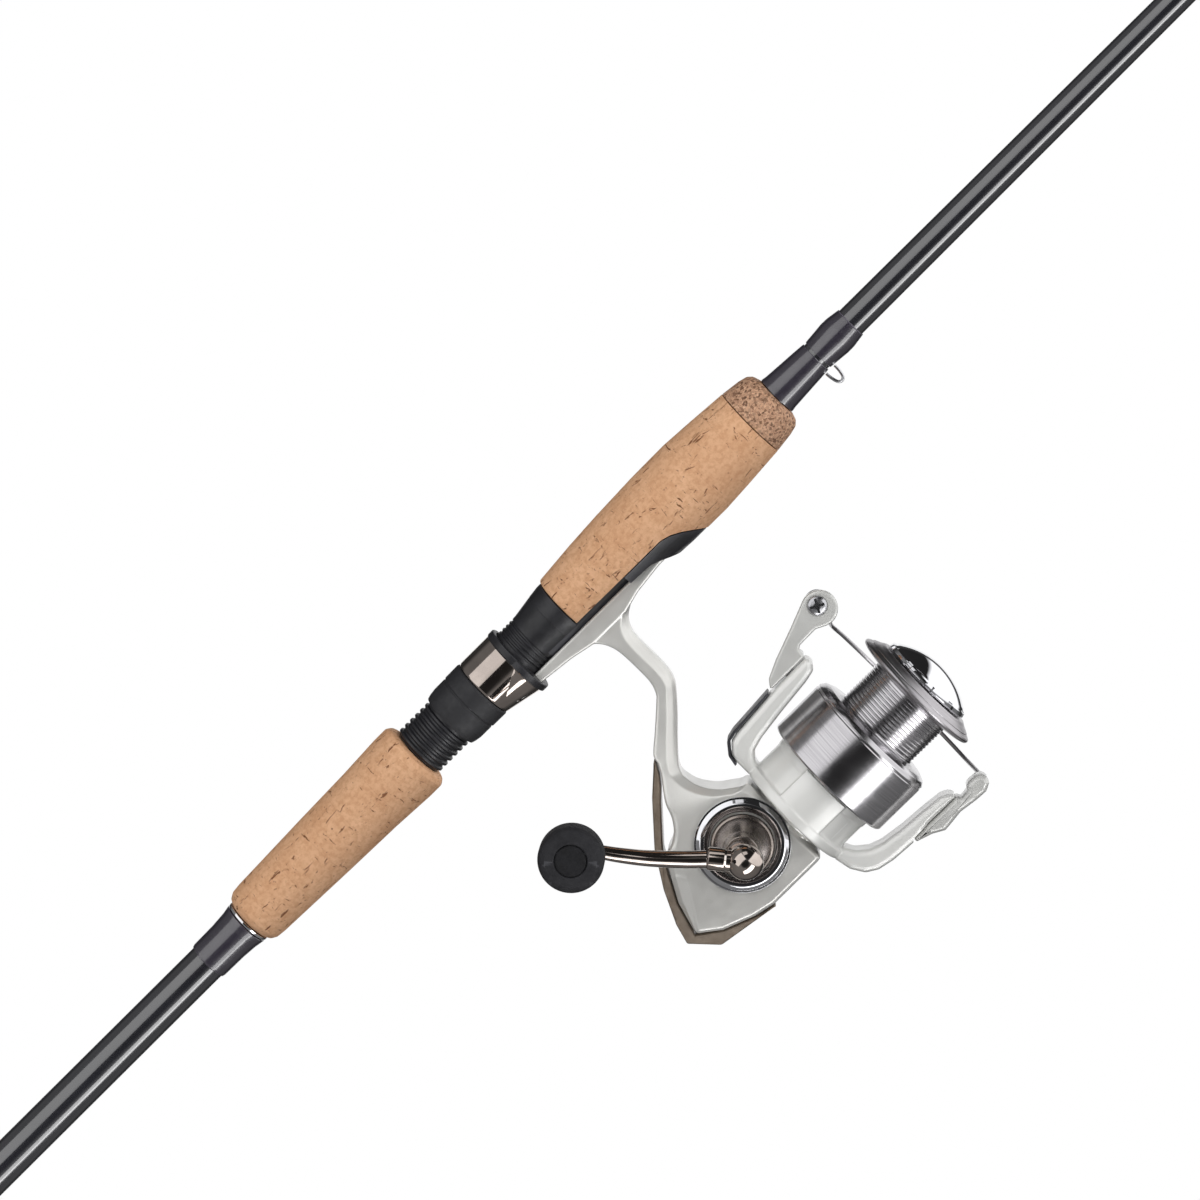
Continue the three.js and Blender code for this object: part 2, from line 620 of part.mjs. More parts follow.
function addCrank() {
  add('drive_gear', driveGear(), BRASS);
  add('handle_collar', handleCollar(), GUNMETAL);
  add('handle_hub', handleHub(), GUNMETAL);
  add('handle_arm', handleArm(), GUNMETAL);
  add('handle_knob', handleKnob(), RUBBER);
  add('knob_insert', alongArm(turnedY(rod(-69.8, -69.3, 4.6), MEDIUM, HANDLE_REACH)), RUBBER);
  add('oscillation_gear', oscillationGear(), STEEL);
}

// ---- reel: rotor ---------------------------------------------------------------------------
const UPPER_ARM = [
  [-10.8, -80], [-10.8, -71], [-10.2, -68.4], [-7.6, -65.4], [-4.6, -64.6], [12.3, -63.2],
  [27.2, -62.9], [27.3, -65.6], [26, -67.4], [22, -68.3], [10, -69.6], [0, -71], [-4.2, -72.2],
  [-6.4, -74.6], [-7.2, -78], [-7.2, -80],
];
const LOWER_ARM = [
  [-10.8, -109], [-10.6, -114], [-9.6, -119], [-7, -123.2], [-3.4, -125.4], [2, -126.5],
  [12.6, -127.1], [16.3, -126.2], [17.4, -125.8], [29.2, -125.8], [29.2, -124.8], [28.2, -123.6],
  [26, -122.5], [20, -121.9], [10, -121.2], [3, -120.2], [-1, -118.8], [-4.4, -116],
  [-6.4, -112.4], [-7, -109],
];

const LOWER_ARM_SEAT_Z = -125.8;
const LEVER_SWEEP_R = 11;     // round relief that the bail lever turns in

function rotor() {
  const cup = turnedX([
    [-10.6, 16.6], [-10.6, 19.6], [-7.4, 19.6], [-7, ROTOR_CUP_R], [17.4, ROTOR_CUP_R],
    [17.4, 17], [2.6, 17], [2.6, 3.3], [-1.1, 3.3], [-1.1, 16.6], [-10.6, 16.6],
  ], FINE, SPOOL_Z);
  const upper = slab(UPPER_ARM, -6.2, 6.2, 0.5);
  const lower = slab(LOWER_ARM, -6.2, 6.2, 0.5);
  const pivots = [[-68, -60], [-130, -122.6]].map(([from, to]) => (
    turnedZ(rod(from, to, 1.9), COARSE, BAIL_PIVOT_X)));
  const leverRelief = turnedZ(rod(-129, LOWER_ARM_SEAT_Z, LEVER_SWEEP_R), FINE, BAIL_PIVOT_X);
  return cut(joined(cup, upper, lower), ...pivots, leverRelief);
}

function armCover() {
  return slab([
    [-11.9, -71.4], [-11.2, -67.8], [-8.3, -64.2], [-5, -63.4], [11, -62.3], [11, -63],
    [-4.7, -64.2], [-7.8, -65], [-10.5, -68.2], [-11.2, -71.4],
  ], -5.4, 5.4);
}

function addRotor() {
  add('pinion_gear', pinionGear(), BRASS);
  add('rotor', rotor(), WHITE);
  const hexagon = turnedX(rod(2.9, 6.4, 6.6), 6, SPOOL_Z);
  const nut = cut(hexagon, turnedX(rod(0, 9, 3.3), MEDIUM, SPOOL_Z));
  add('rotor_nut', nut, STEEL);
  add('rotor_arm_cover', armCover(), SEAT_BLACK);
}

// ---- reel: bail -----------------------------------------------------------------------------
function roundEnd(x, z, r, from, to, steps) {
  const points = [];
  for (let i = 0; i <= steps; i += 1) {
    const angle = rad(from + (to - from) * i / steps);
    points.push([x + r * Math.cos(angle), z + r * Math.sin(angle)]);
  }
  return points;
}

function bailArm() {
  const outline = [
    [12, -62.6], [27, -62.6], [27.3, -60], [28.4, -59], [34.6, -58.9], [36.6, -60.2],
    ...roundEnd(ROLLER_X, ROLLER_Z - 1.6, 5, 225, 470, 12),
    [30, -54.7], [20, -58.2], [15, -60.1],
  ];
  const plate = slab(outline, -4.6, -1.6, 0.5);
  const base = slab([
    [12, -62.6], [27, -62.6], [27.2, -60.6], [20, -59.4], [15, -60.4],
  ], -4.6, 5, 0.5);
  const roller = turnedY(rod(-10, 0, 1.65), COARSE, ROLLER_X, ROLLER_Z);
  const pivot = turnedZ(rod(-64, -60.4, 1.9), COARSE, BAIL_PIVOT_X);
  return cut(joined(plate, base), roller, pivot);
}

function bailLever() {
  const outline = [
    [10.7, -127.5], [11.1, -126.1], [29.4, -126.1], [30, -127.6], [33, -127.2],
    [33.8, -125.9], [35.2, -125.5], [38, -125.7], [39.7, -126.6], [40.2, -128.4], [39.5, -130.2],
    [37, -131.4], [33, -131.2], [27, -130.4], [22, -131], [19.6, -131.2], [16, -129.2],
  ];
  const pivot = turnedZ(rod(-129, -120, 1.9), COARSE, BAIL_PIVOT_X);
  return cut(slab(outline, -4.8, 4.8, 0.6), pivot);
}

const WIRE_END_Y = 5.1;
const WIRE_END = [38.2, -128.2];

function bailWire() {
  const cheek = slab([
    ...roundEnd(ROLLER_X, ROLLER_Z, 4.4, 0, 180, 8),
    ...roundEnd(ROLLER_X - 0.4, ROLLER_Z - 5.2, 3, 180, 360, 6),
  ], 4.9, 8.6, 0.6);
  const topZ = ROLLER_Z - 6;
  const path = [[ROLLER_X - 1, 6.5, topZ], [ROLLER_X - 1.6, 10, topZ - 1.2]];
  const turns = 12;
  const centreZ = (topZ + WIRE_END[1]) / 2;
  const halfZ = (topZ - WIRE_END[1]) / 2;
  for (let i = 2; i <= turns - 2; i += 1) {
    const angle = Math.PI * (0.5 - i / turns);
    const bulge = Math.cos(angle) ** 0.8;
    path.push([38.4 - 2.6 * bulge, WIRE_BULGE_Y * bulge, centreZ + halfZ * Math.sin(angle)]);
  }
  path.push([WIRE_END[0], 10, WIRE_END[1] + 0.6], [WIRE_END[0], WIRE_END_Y, WIRE_END[1]]);
  const screwHole = turnedY(rod(4, 7.2, 1.65), COARSE, ROLLER_X, ROLLER_Z);
  return cut(joined(cheek, wire(path, WIRE_R, 36)), screwHole);
}

function rollerScrew() {
  return turnedY([
    [-6, 0], [-6, 2.6], [-5.6, 3], [-4.9, 3], [-4.9, 1.35], [6.8, 1.35], [6.8, 0],
  ], MEDIUM, ROLLER_X, ROLLER_Z);
}

function lineRoller() {
  return turnedY([
    [-1.3, 1.65], [-1.3, 4], [-0.4, 4], [0.8, 3.2], [2.2, 3.2], [3.6, 4], [4.6, 4], [4.6, 1.65],
    [-1.3, 1.65],
  ], MEDIUM, ROLLER_X, ROLLER_Z);
}

function addBail() {
  add('bail_arm', bailArm(), WHITE);
  add('bail_lever', bailLever(), WHITE);
  add('bail_wire', bailWire(), STEEL);
  add('roller_screw', rollerScrew(), STEEL);
  add('line_roller', lineRoller(), STEEL);
  add('bail_pivot_upper', turnedZ(rod(-67, -60.7, 1.6), COARSE, BAIL_PIVOT_X), STEEL);
  add('bail_pivot_lower', turnedZ(rod(-128.7, -123, 1.6), COARSE, BAIL_PIVOT_X), STEEL);
}

// ---- reel: main shaft, spool and drag -------------------------------------------------------------
const CHAMBER_R = 9.8;        // drag chamber in the front of the spool
const SHAFT_END_X = 49.4;

function spool() {
  return turnedX([
    [5, 20.6], [5, 22], [5.6, SKIRT_R], [23.6, SKIRT_R], [25, 21.4], [25.9, 19.4], [26.2, ARBOR_R],
    [41.3, ARBOR_R], [41.6, 15.4], [42.8, 21.5], [43.5, LIP_R], [44.2, 21.7], [46.1, 18.2],
    [46.9, 17], [46.9, CHAMBER_R], [34, CHAMBER_R], [34, 2.3], [22.5, 2.3], [22.5, 20.6],
    [5, 20.6],
  ], FINE, SPOOL_Z);
}

function dragKnob() {
  return turnedX([
    [50.2, 0], [50.2, 2], [38.6, 2], [38.6, 9.2], [47.3, 9.2], [47.3, 15.2], [48, 15.8],
    [49.2, 15.2], [50.2, 13.4], [51.6, 11.6], [53.2, 7.6], [54.1, 3.6], [54.3, 0],
  ], FINE, SPOOL_Z);
}

function mainShaft() {
  return turnedX(rod(-50, SHAFT_END_X, SHAFT_R), COARSE, SPOOL_Z);
}

function slider() {
  const block = box([-46, -2.6, -100.6], [-38, 2.6, -92]);
  const slot = box([-43.6, -4, -106], [-40.6, -0.9, -97.6]);
  const bore = turnedX(rod(-60, -20, SHAFT_R + GAP), COARSE, SPOOL_Z);
  return cut(block, bore, slot);
}

function addSpool() {
  add('main_shaft', mainShaft(), STEEL);
  add('oscillation_slider', slider(), BRASS);
  add('spool', spool(), ALUMINIUM);
  add('drag_washer_felt', bearingX(34.3, 35.7, 2.3, 9.3), FELT);
  add('drag_washer_metal', bearingX(36, 38.2, 2.1, 9.3), STEEL);
  add('drag_knob', dragKnob(), CHROME);
}

addRod();
addTipSection();
addReelBody();
addCrank();
addRotor();
addBail();
addSpool();

export default group;
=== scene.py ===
"""Looks of the spinning rod and reel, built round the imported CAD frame."""
from math import acos, atan2, cos, pi, radians, sin, sqrt, tan

import bmesh
import bpy
from mathutils import Matrix, Vector


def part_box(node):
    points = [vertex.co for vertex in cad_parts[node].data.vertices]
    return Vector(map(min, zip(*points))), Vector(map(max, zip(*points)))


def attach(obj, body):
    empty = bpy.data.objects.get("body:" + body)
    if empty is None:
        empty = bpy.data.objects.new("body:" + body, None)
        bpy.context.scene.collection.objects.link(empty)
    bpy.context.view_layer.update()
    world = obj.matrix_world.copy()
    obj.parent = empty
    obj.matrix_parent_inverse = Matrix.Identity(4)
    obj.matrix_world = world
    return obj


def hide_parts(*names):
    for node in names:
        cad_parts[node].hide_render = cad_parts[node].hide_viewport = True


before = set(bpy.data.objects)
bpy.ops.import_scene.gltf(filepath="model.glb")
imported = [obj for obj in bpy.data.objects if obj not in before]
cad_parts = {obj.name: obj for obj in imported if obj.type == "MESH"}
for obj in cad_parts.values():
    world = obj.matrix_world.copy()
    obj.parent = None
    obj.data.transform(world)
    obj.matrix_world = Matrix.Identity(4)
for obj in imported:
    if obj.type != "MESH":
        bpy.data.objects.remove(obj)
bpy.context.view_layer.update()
MM = 0.001


# ---- where the CAD says things are, in millimetres ----
def centre_of(node):
    low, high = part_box(node)
    return (low + high) / 2 / MM


def limits_of(node):
    low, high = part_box(node)
    return low / MM, high / MM


SPOOL_Z = centre_of("main_shaft").z
CRANK = centre_of("handle_collar")
ROLLER = centre_of("line_roller")
KNOB = centre_of("knob_insert")
SPOOL_AXIS = (0, SPOOL_Z)
CRANK_AXIS = (CRANK.x, CRANK.z)
ROLLER_AXIS = (ROLLER.x, ROLLER.z)
KNOB_AXIS = (KNOB.x, KNOB.z)
PIVOT_X = centre_of("bail_pivot_upper").x
# Radii that more than one piece uses, in millimetres.
BLANK_HOLE = 6.6
SEAT_TUBE = 8.7
SADDLE = 9.1
CRANK_HOLE = 5.3
PIVOT_HOLE = 1.9
ROLLER_HOLE = 1.65
WIRE = 0.65
GUIDE_WIRE = 0.6

TINY = 1e-6
NEARLY_STRAIGHT = radians(176)


# ---- mesh helpers ----
def linked(name, data):
    obj = bpy.data.objects.new(name, data)
    bpy.context.scene.collection.objects.link(obj)
    return obj


def new_object(name, bm, sharp=35):
    bmesh.ops.recalc_face_normals(bm, faces=bm.faces)
    mesh = bpy.data.meshes.new(name)
    bm.to_mesh(mesh)
    bm.free()
    obj = linked(name, mesh)
    smooth(obj, sharp)
    return obj


def smooth(obj, sharp=35):
    obj.data.polygons.foreach_set("use_smooth", [True] * len(obj.data.polygons))
    obj.data.set_sharp_from_angle(angle=radians(sharp))


def corners_rounded(points, closed=False, default=0, steps=3):
    """Each corner becomes a small arc. A point's third value is its own radius."""
    count = len(points)
    out = []
    for i, point in enumerate(points):
        here = Vector(point[:2])
        radius = point[2] if len(point) > 2 else default
        edge = not closed and i in (0, count - 1)
        if edge or radius <= 0:
            out.append(here)
            continue
        before = Vector(points[i - 1][:2]) - here
        after = Vector(points[(i + 1) % count][:2]) - here
        if before.length < TINY or after.length < TINY:
            out.append(here)
            continue
        angle = before.angle(after)
        if angle > NEARLY_STRAIGHT:
            out.append(here)
            continue
        reach = min(radius / tan(angle / 2), 0.45 * before.length, 0.45 * after.length)
        start = here + before.normalized() * reach
        end = here + after.normalized() * reach
        for k in range(steps + 1):
            t = k / steps
            out.append(start * (1 - t) ** 2 + here * 2 * t * (1 - t) + end * t * t)
    return out


def turned(name, axis, profile, centre=(0, 0), facets=96, radius=0, shape=None, steps=3):
    """A turned piece. The profile's points are (position along the axis, radius, rounding).
    A profile that touches the axis at neither end closes on itself."""
    closed = min(profile[0][1], profile[-1][1]) > TINY
    points = corners_rounded(profile, closed, radius, steps)
    bm = bmesh.new()
    rings = []
    for along, r in points:
        ring = []
        for k in range(facets):
            angle = 2 * pi * k / facets
            rr = shape(along, r, angle) if shape else r
            u, v = rr * cos(angle), rr * sin(angle)
            place = {
                "X": (along, centre[0] + u, centre[1] + v),
                "Y": (centre[0] + u, along, centre[1] + v),
                "Z": (centre[0] + u, centre[1] + v, along),
            }[axis]
            ring.append(bm.verts.new(Vector(place) * MM))
        rings.append(ring)
    pairs = list(zip(rings, rings[1:]))
    if closed:
        pairs.append((rings[-1], rings[0]))
    for one, two in pairs:
        for k in range(facets):
            n = (k + 1) % facets
            bm.faces.new((one[k], one[n], two[n], two[k]))
    bmesh.ops.remove_doubles(bm, verts=bm.verts, dist=1e-7)
    return new_object(name, bm)


def rod(axis, start, end, r, centre=(0, 0), facets=64):
    return turned("rod", axis, [(start, 0), (start, r), (end, r), (end, 0)], centre, facets)


def cap_triangles(loop):
    """Triangles that fill a flat loop, as places in the loop."""
    bm = bmesh.new()
    bm.faces.new([bm.verts.new((x, 0, z)) for x, z in loop])
    bm.verts.index_update()
    bm.normal_update()
    bmesh.ops.triangulate(bm, faces=bm.faces[:], ngon_method="EAR_CLIP")
    triangles = [[v.index for v in face.verts] for face in bm.faces]
    bm.free()
    return triangles


def lofted(name, rings, sharp=35, cap=None):
    """Closed rings with equal counts of points, skinned and capped."""
    bm = bmesh.new()
    made = [[bm.verts.new(Vector(p) * MM) for p in ring] for ring in rings]
    for one, two in zip(made, made[1:]):
        count = len(one)
        for k in range(count):
            n = (k + 1) % count
            bm.faces.new((one[k], one[n], two[n], two[k]))
    for corners in cap or [range(len(rings[0]))]:
        bm.faces.new([made[0][k] for k in corners])
        bm.faces.new([made[-1][k] for k in reversed(corners)])
    return new_object(name, bm, sharp)


def inset_points(outline, inset):
    """The outline moved inwards. inset is a distance, or a function of the point."""
    area = sum(a[0] * b[1] - b[0] * a[1] for a, b in zip(outline, outline[1:] + outline[:1]))
    turn = 1 if area > 0 else -1
    out = []
    count = len(outline)
    for i, point in enumerate(outline):
        here = Vector(point)
        one = (here - Vector(outline[i - 1])).normalized()
        two = (Vector(outline[(i + 1) % count]) - here).normalized()
        normal = Vector((-(one + two).y, (one + two).x))
        if normal.length < TINY:
            out.append(here)
            continue
        normal = normal.normalized() * turn
        spread = max(0.5, sqrt(max(0, (1 + one.dot(two)) / 2)))
        distance = inset(here) if callable(inset) else inset
        out.append(here + normal * distance / spread)
    return out


def plate(name, outline, low, high, inset=0.5, depth=None, radius=0, sharp=35):
    """An outline in X and Z carried along Y, with chamfered rims."""
    loop = [tuple(p) for p in corners_rounded(outline, True, radius)]
    depth = inset if depth is None else depth
    inner = inset_points(loop, inset)
    middle = inset_points(loop, (lambda p: inset(p) * 0.3) if callable(inset) else inset * 0.3)
    stations = [
        (low, inner), (low + depth * 0.3, middle), (low + depth, loop),
        (high - depth, loop), (high - depth * 0.3, middle), (high, inner),
    ]
    rings = [[(p[0], y, p[1]) for p in pts] for y, pts in stations]
    return lofted(name, rings, sharp, cap_triangles(loop))


def curve_points(points, count):
    """A smooth path through the points."""
    points = [Vector(p) for p in points]
    ends = [2 * points[0] - points[1]] + points + [2 * points[-1] - points[-2]]
    out = []
    spans = len(points) - 1
    for i in range(count + 1):
        s = min(i / count * spans, spans - 1e-9)
        k = int(s)
        t = s - k
        a, b, c, d = ends[k:k + 4]
        out.append(0.5 * (2 * b + (c - a) * t + (2 * a - 5 * b + 4 * c - d) * t * t
                          + (3 * b - a - 3 * c + d) * t ** 3))
    return out


def swept(name, path, radius, sides=16, count=None):
    """A round bar along a path. radius is a number or a function of 0..1."""
    path = curve_points(path, count or 8 * len(path))
    tangent = (path[1] - path[0]).normalized()
    side = tangent.orthogonal().normalized()
    rings = []
    for i, point in enumerate(path):
        ahead = path[min(i + 1, len(path) - 1)] - path[max(i - 1, 0)]
        ahead.normalize()
        side = (side - ahead * side.dot(ahead)).normalized()
        other = ahead.cross(side)
        r = radius(i / (len(path) - 1)) if callable(radius) else radius
        rings.append([
            point + side * r * cos(2 * pi * k / sides)
            + other * r * sin(2 * pi * k / sides) for k in range(sides)])
    return lofted(name, rings, 50)


def baked(obj):
    """Applies the modifiers."""
    bpy.context.view_layer.update()
    graph = bpy.context.evaluated_depsgraph_get()
    mesh = bpy.data.meshes.new_from_object(obj.evaluated_get(graph))
    old = obj.data
    obj.modifiers.clear()
    obj.data = mesh
    bpy.data.meshes.remove(old)


def combined(target, *tools, operation="DIFFERENCE", sharp=35):
    for tool in tools:
        modifier = target.modifiers.new("combine", "BOOLEAN")
        modifier.object = tool
        modifier.operation = operation
        modifier.solver = "EXACT"
        baked(target)
        bpy.data.objects.remove(tool)
    smooth(target, sharp)


def joined(name, pieces):
    """One object holding all the pieces' meshes."""
    bm = bmesh.new()
    for piece in pieces:
        bm.from_mesh(piece.data)
    for piece in pieces:
        bpy.data.objects.remove(piece)
    return new_object(name, bm)


def cast(name, pieces, voxel=0.35, passes=4, sharp=180):
    """Pieces fused into one casting with softened edges."""
    obj = joined(name, pieces)
    remesh = obj.modifiers.new("fuse", "REMESH")
    remesh.mode = "VOXEL"
    remesh.voxel_size = voxel * MM
    remesh.use_smooth_shade = True
    soften = obj.modifiers.new("soften", "SMOOTH")
    soften.factor = 0.5
    soften.iterations = passes
    baked(obj)
    smooth(obj, sharp)
    return obj


def block(low, high):
    bm = bmesh.new()
    bmesh.ops.create_cube(bm, size=1)
    for v in bm.verts:
        v.co = Vector([(low[i] + (v.co[i] + 0.5) * (high[i] - low[i])) * MM for i in range(3)])
    return new_object("block", bm)


# ---- material helpers ----
def linear(colour):
    """Red, green and blue from 0 to 255 as the four values of a colour socket."""
    parts = [c / 255 for c in colour]
    return (*(c / 12.92 if c <= 0.04045 else ((c + 0.055) / 1.055) ** 2.4 for c in parts), 1)


WHITE = (255, 255, 255)
LOOKS = {}


class Nodes:
    """Short calls for the nodes of a material or of the world."""

    def __init__(self, tree):
        self.nodes = tree.nodes
        self.links = tree.links

    def join(self, value, socket):
        if isinstance(value, bpy.types.NodeSocket):
            self.links.new(value, socket)
        else:
            socket.default_value = linear(value) if isinstance(value, tuple) else value

    def separate(self, vector):
        node = self.nodes.new("ShaderNodeSeparateXYZ")
        self.links.new(vector, node.inputs[0])
        return node.outputs

    def ramp(self, value, stops):
        """Grey levels or colours over a value from 0 to 1."""
        node = self.nodes.new("ShaderNodeValToRGB")
        elements = node.color_ramp.elements
        while len(elements) < len(stops):
            elements.new(0.5)
        for element, (position, colour) in zip(elements, stops):
            element.position = position
            element.color = linear(colour) if isinstance(colour, tuple) else (colour, colour, colour, 1)
        self.links.new(value, node.inputs["Fac"])
        return node.outputs["Color"]

    def mix(self, factor, one, two):
        node = self.nodes.new("ShaderNodeMix")
        node.data_type = "RGBA"
        self.join(factor, node.inputs[0])
        self.join(one, node.inputs[6])
        self.join(two, node.inputs[7])
        return node.outputs[2]

    def maths(self, operation, one, two=0, three=0.5):
        node = self.nodes.new("ShaderNodeMath")
        node.operation = operation
        for socket, value in zip(node.inputs, (one, two, three)):
            self.join(value, socket)
        return node.outputs[0]


class Look(Nodes):
    """A material with its textures and its shader."""

    def __init__(self, name, rough=0.5, metal=0, coat=0, coat_rough=0.1, specular=0.5):
        material = LOOKS[name] = bpy.data.materials.new(name + "_look")
        material.use_nodes = True
        super().__init__(material.node_tree)
        self.shader = self.nodes["Principled BSDF"]
        self.set("Roughness", rough)
        self.set("Metallic", metal)
        self.set("Coat Weight", coat)
        self.set("Coat Roughness", coat_rough)
        self.set("Specular IOR Level", specular)
        self.place = self.nodes.new("ShaderNodeTexCoord").outputs["Object"]

    def set(self, socket, value):
        self.shader.inputs[socket].default_value = value

    def feed(self, socket, value):
        self.join(value, self.shader.inputs[socket])

    def stretched(self, x, y, z):
        node = self.nodes.new("ShaderNodeMapping")
        node.inputs["Scale"].default_value = (x, y, z)
        self.links.new(self.place, node.inputs["Vector"])
        return node.outputs["Vector"]

    def texture(self, kind, place=None, **inputs):
        node = self.nodes.new("ShaderNodeTex" + kind)
        for name, value in inputs.items():
            node.inputs[name].default_value = value
        self.links.new(place or self.place, node.inputs["Vector"])
        return node.outputs

    def noise(self, scale, detail=3, rough=0.5, place=None, distortion=0):
        return self.texture("Noise", place, Scale=scale, Detail=detail, Roughness=rough,
                            Distortion=distortion)["Fac"]

    def step(self, value, low, high, top=1):
        """Rises from 0 to top as the value goes from low to high."""
        return self.ramp(value, [(low, 0), (high, top)])

    def paint_edge_highlight_and_wear(self, base, edge_highlight_and_wear, low=0.52, high=0.62):
        """The base colour, with a lighter colour along convex edges: a painted edge highlight, which also
        stands for wear.
        """
        edges = self.nodes.new("ShaderNodeNewGeometry").outputs["Pointiness"]
        self.feed("Base Color", self.mix(self.step(edges, low, high), base, edge_highlight_and_wear))

    def roughness(self, scale, low, high, detail=3):
        self.feed("Roughness", self.ramp(self.noise(scale, detail), [(0.3, low), (0.7, high)]))

    def bump(self, height, distance, strength=1):
        """Surface relief, distance in millimetres."""
        node = self.nodes.new("ShaderNodeBump")
        node.inputs["Distance"].default_value = distance * MM
        node.inputs["Strength"].default_value = strength
        self.links.new(height, node.inputs["Height"])
        previous = self.shader.inputs["Normal"]
        if previous.is_linked:
            self.links.new(previous.links[0].from_socket, node.inputs["Normal"])
        self.links.new(node.outputs["Normal"], previous)


def plain(name, colour, other, rough, metal=0, grain=900, relief=0.01, edge_highlight_and_wear=None, **more):
    """Mottled colour, uneven roughness, fine relief and, given an edge colour, convex edges painted lighter:
    a painted edge highlight and wear.
    """
    look = Look(name, metal=metal, **more)
    mottle = look.noise(grain * 0.12, 4, 0.6)
    base = look.mix(look.step(mottle, 0.35, 0.65), colour, other)
    # Convex edges painted lighter: a painted edge highlight and wear.
    if edge_highlight_and_wear:
        look.paint_edge_highlight_and_wear(base, edge_highlight_and_wear)
    else:
        look.feed("Base Color", base)
    look.roughness(grain * 0.3, *rough)
    look.bump(look.noise(grain, 2), relief)
    return look


# ---- materials ----
def cork_look():
    look = Look("cork", specular=0.25)
    broad = look.noise(90, 4, 0.6)
    fine = look.noise(700, 4, 0.7)
    base = look.mix(look.step(broad, 0.3, 0.7), (226, 180, 142), (209, 161, 123))
    base = look.mix(look.step(fine, 0.42, 0.62, 0.5), base, (188, 136, 96))
    along = look.noise(260, 3, 0.7, look.stretched(0.55, 2.2, 2.2), 0.6)
    pits = look.step(along, 0.63, 0.68)
    across = look.noise(300, 3, 0.7, look.stretched(2.6, 0.7, 0.7), 0.4)
    lenticels = look.step(across, 0.64, 0.69)
    marks = look.maths("MAXIMUM", pits, lenticels)
    pores = look.ramp(look.texture("Voronoi", Scale=620)["Distance"], [(0.10, 1), (0.20, 0)])
    sparse = look.step(look.noise(180, 2), 0.52, 0.62)
    pores = look.maths("MULTIPLY", pores, sparse)
    marks = look.maths("MAXIMUM", marks, look.maths("MULTIPLY", pores, 0.55))
    base = look.mix(marks, base, (128, 84, 56))
    ring = look.maths("FRACT", look.maths("MULTIPLY", look.separate(look.place)["X"], 1 / (12.7 * MM)))
    seam = look.ramp(look.maths("ABSOLUTE", look.maths("SUBTRACT", ring, 0.5)), [(0, 0.22), (0.012, 0)])
    base = look.mix(seam, base, (170, 118, 80))
    # Lighter convex edges on the cork: a painted edge highlight and wear.
    look.paint_edge_highlight_and_wear(base, (232, 190, 152), 0.53, 0.66)
    look.feed("Roughness", look.ramp(fine, [(0.3, 0.62), (0.7, 0.9)]))
    look.bump(look.maths("SUBTRACT", 1, marks), 0.25, 0.7)
    look.bump(fine, 0.05)


def burl_look():
    look = Look("burl_cork", specular=0.25)
    chips = look.texture("Voronoi", Scale=1500)["Color"]
    split = look.nodes.new("ShaderNodeSeparateColor")
    look.links.new(chips, split.inputs[0])
    base = look.ramp(split.outputs[0], [
        (0, (104, 76, 60)), (0.2, (150, 113, 90)), (0.42, (208, 165, 134)),
        (0.66, (184, 142, 114)), (0.84, (220, 178, 146)), (1, (118, 88, 70))])
    fleck = look.step(look.noise(2600, 3, 0.8), 0.5, 0.66, 0.6)
    base = look.mix(fleck, base, (86, 62, 44))
    # Lighter convex edges on the burl: a painted edge highlight and wear.
    look.paint_edge_highlight_and_wear(base, (180, 138, 98), 0.53, 0.66)
    look.feed("Roughness", look.ramp(split.outputs[1], [(0.2, 0.6), (0.8, 0.92)]))
    look.bump(split.outputs[2], 0.1, 0.6)
    look.bump(look.noise(1500, 3, 0.8), 0.06)


def blank_look():
    look = Look("graphite_blank", coat=1, coat_rough=0.05, specular=0.9)
    look.set("Coat IOR", 1.75)
    cloth = look.noise(420, 3, 0.6, look.stretched(0.12, 1, 1))
    base = look.mix(look.step(cloth, 0.3, 0.7), (30, 30, 35), (38, 38, 44))
    # Lighter convex edges on the blank: a painted edge highlight and wear.
    look.paint_edge_highlight_and_wear(base, (66, 66, 72), 0.56, 0.7)
    look.roughness(120, 0.16, 0.24)
    look.bump(look.noise(90, 2), 0.004)


def wrap_look():
    look = Look("thread_wrap", coat=1, coat_rough=0.06, specular=0.8)
    look.set("Coat IOR", 1.65)
    thread = look.texture("Wave", Scale=1250, Distortion=0)["Fac"]
    base = look.mix(thread, (26, 22, 32), (46, 40, 56))
    base = look.mix(look.step(look.noise(200, 3), 0.4, 0.7, 0.5), base, (46, 42, 52))
    # Lighter convex edges on the wrap: a painted edge highlight and wear.
    look.paint_edge_highlight_and_wear(base, (92, 86, 100))
    look.roughness(150, 0.25, 0.4, 2)
    look.bump(thread, 0.02, 0.6)
    look.bump(look.noise(160, 2), 0.05)


def spun_look(name, dark, light, rough):
    """Turned metal, with fine lathe lines round the X axis."""
    look = Look(name, metal=1)
    lines = look.noise(2200, 2, 0.6, look.stretched(1, 0.02, 0.02))
    base = look.mix(look.step(lines, 0.3, 0.7), dark, light)
    # Near-white convex edges: a painted highlight on the turned metal.
    look.paint_edge_highlight_and_wear(base, (240, 240, 242))
    look.roughness(140, *rough)
    look.bump(lines, 0.003)


def paint_look(name, colour, other, metal, flake):
    """Metallic paint with small pearl flakes under a clear coat."""
    look = Look(name, metal=metal, coat=0.6, coat_rough=0.12)
    flakes = look.noise(5200, 1)
    base = look.mix(look.step(flakes, 0.45, 0.7, flake), colour, other)
    base = look.mix(look.step(look.noise(60, 3), 0.3, 0.8, 0.25), base, other)
    # Near-white convex edges: a painted highlight on the paint.
    look.paint_edge_highlight_and_wear(base, (236, 236, 234), 0.6, 0.85)
    look.roughness(300, 0.28, 0.4)
    look.bump(look.noise(700, 2), 0.006)
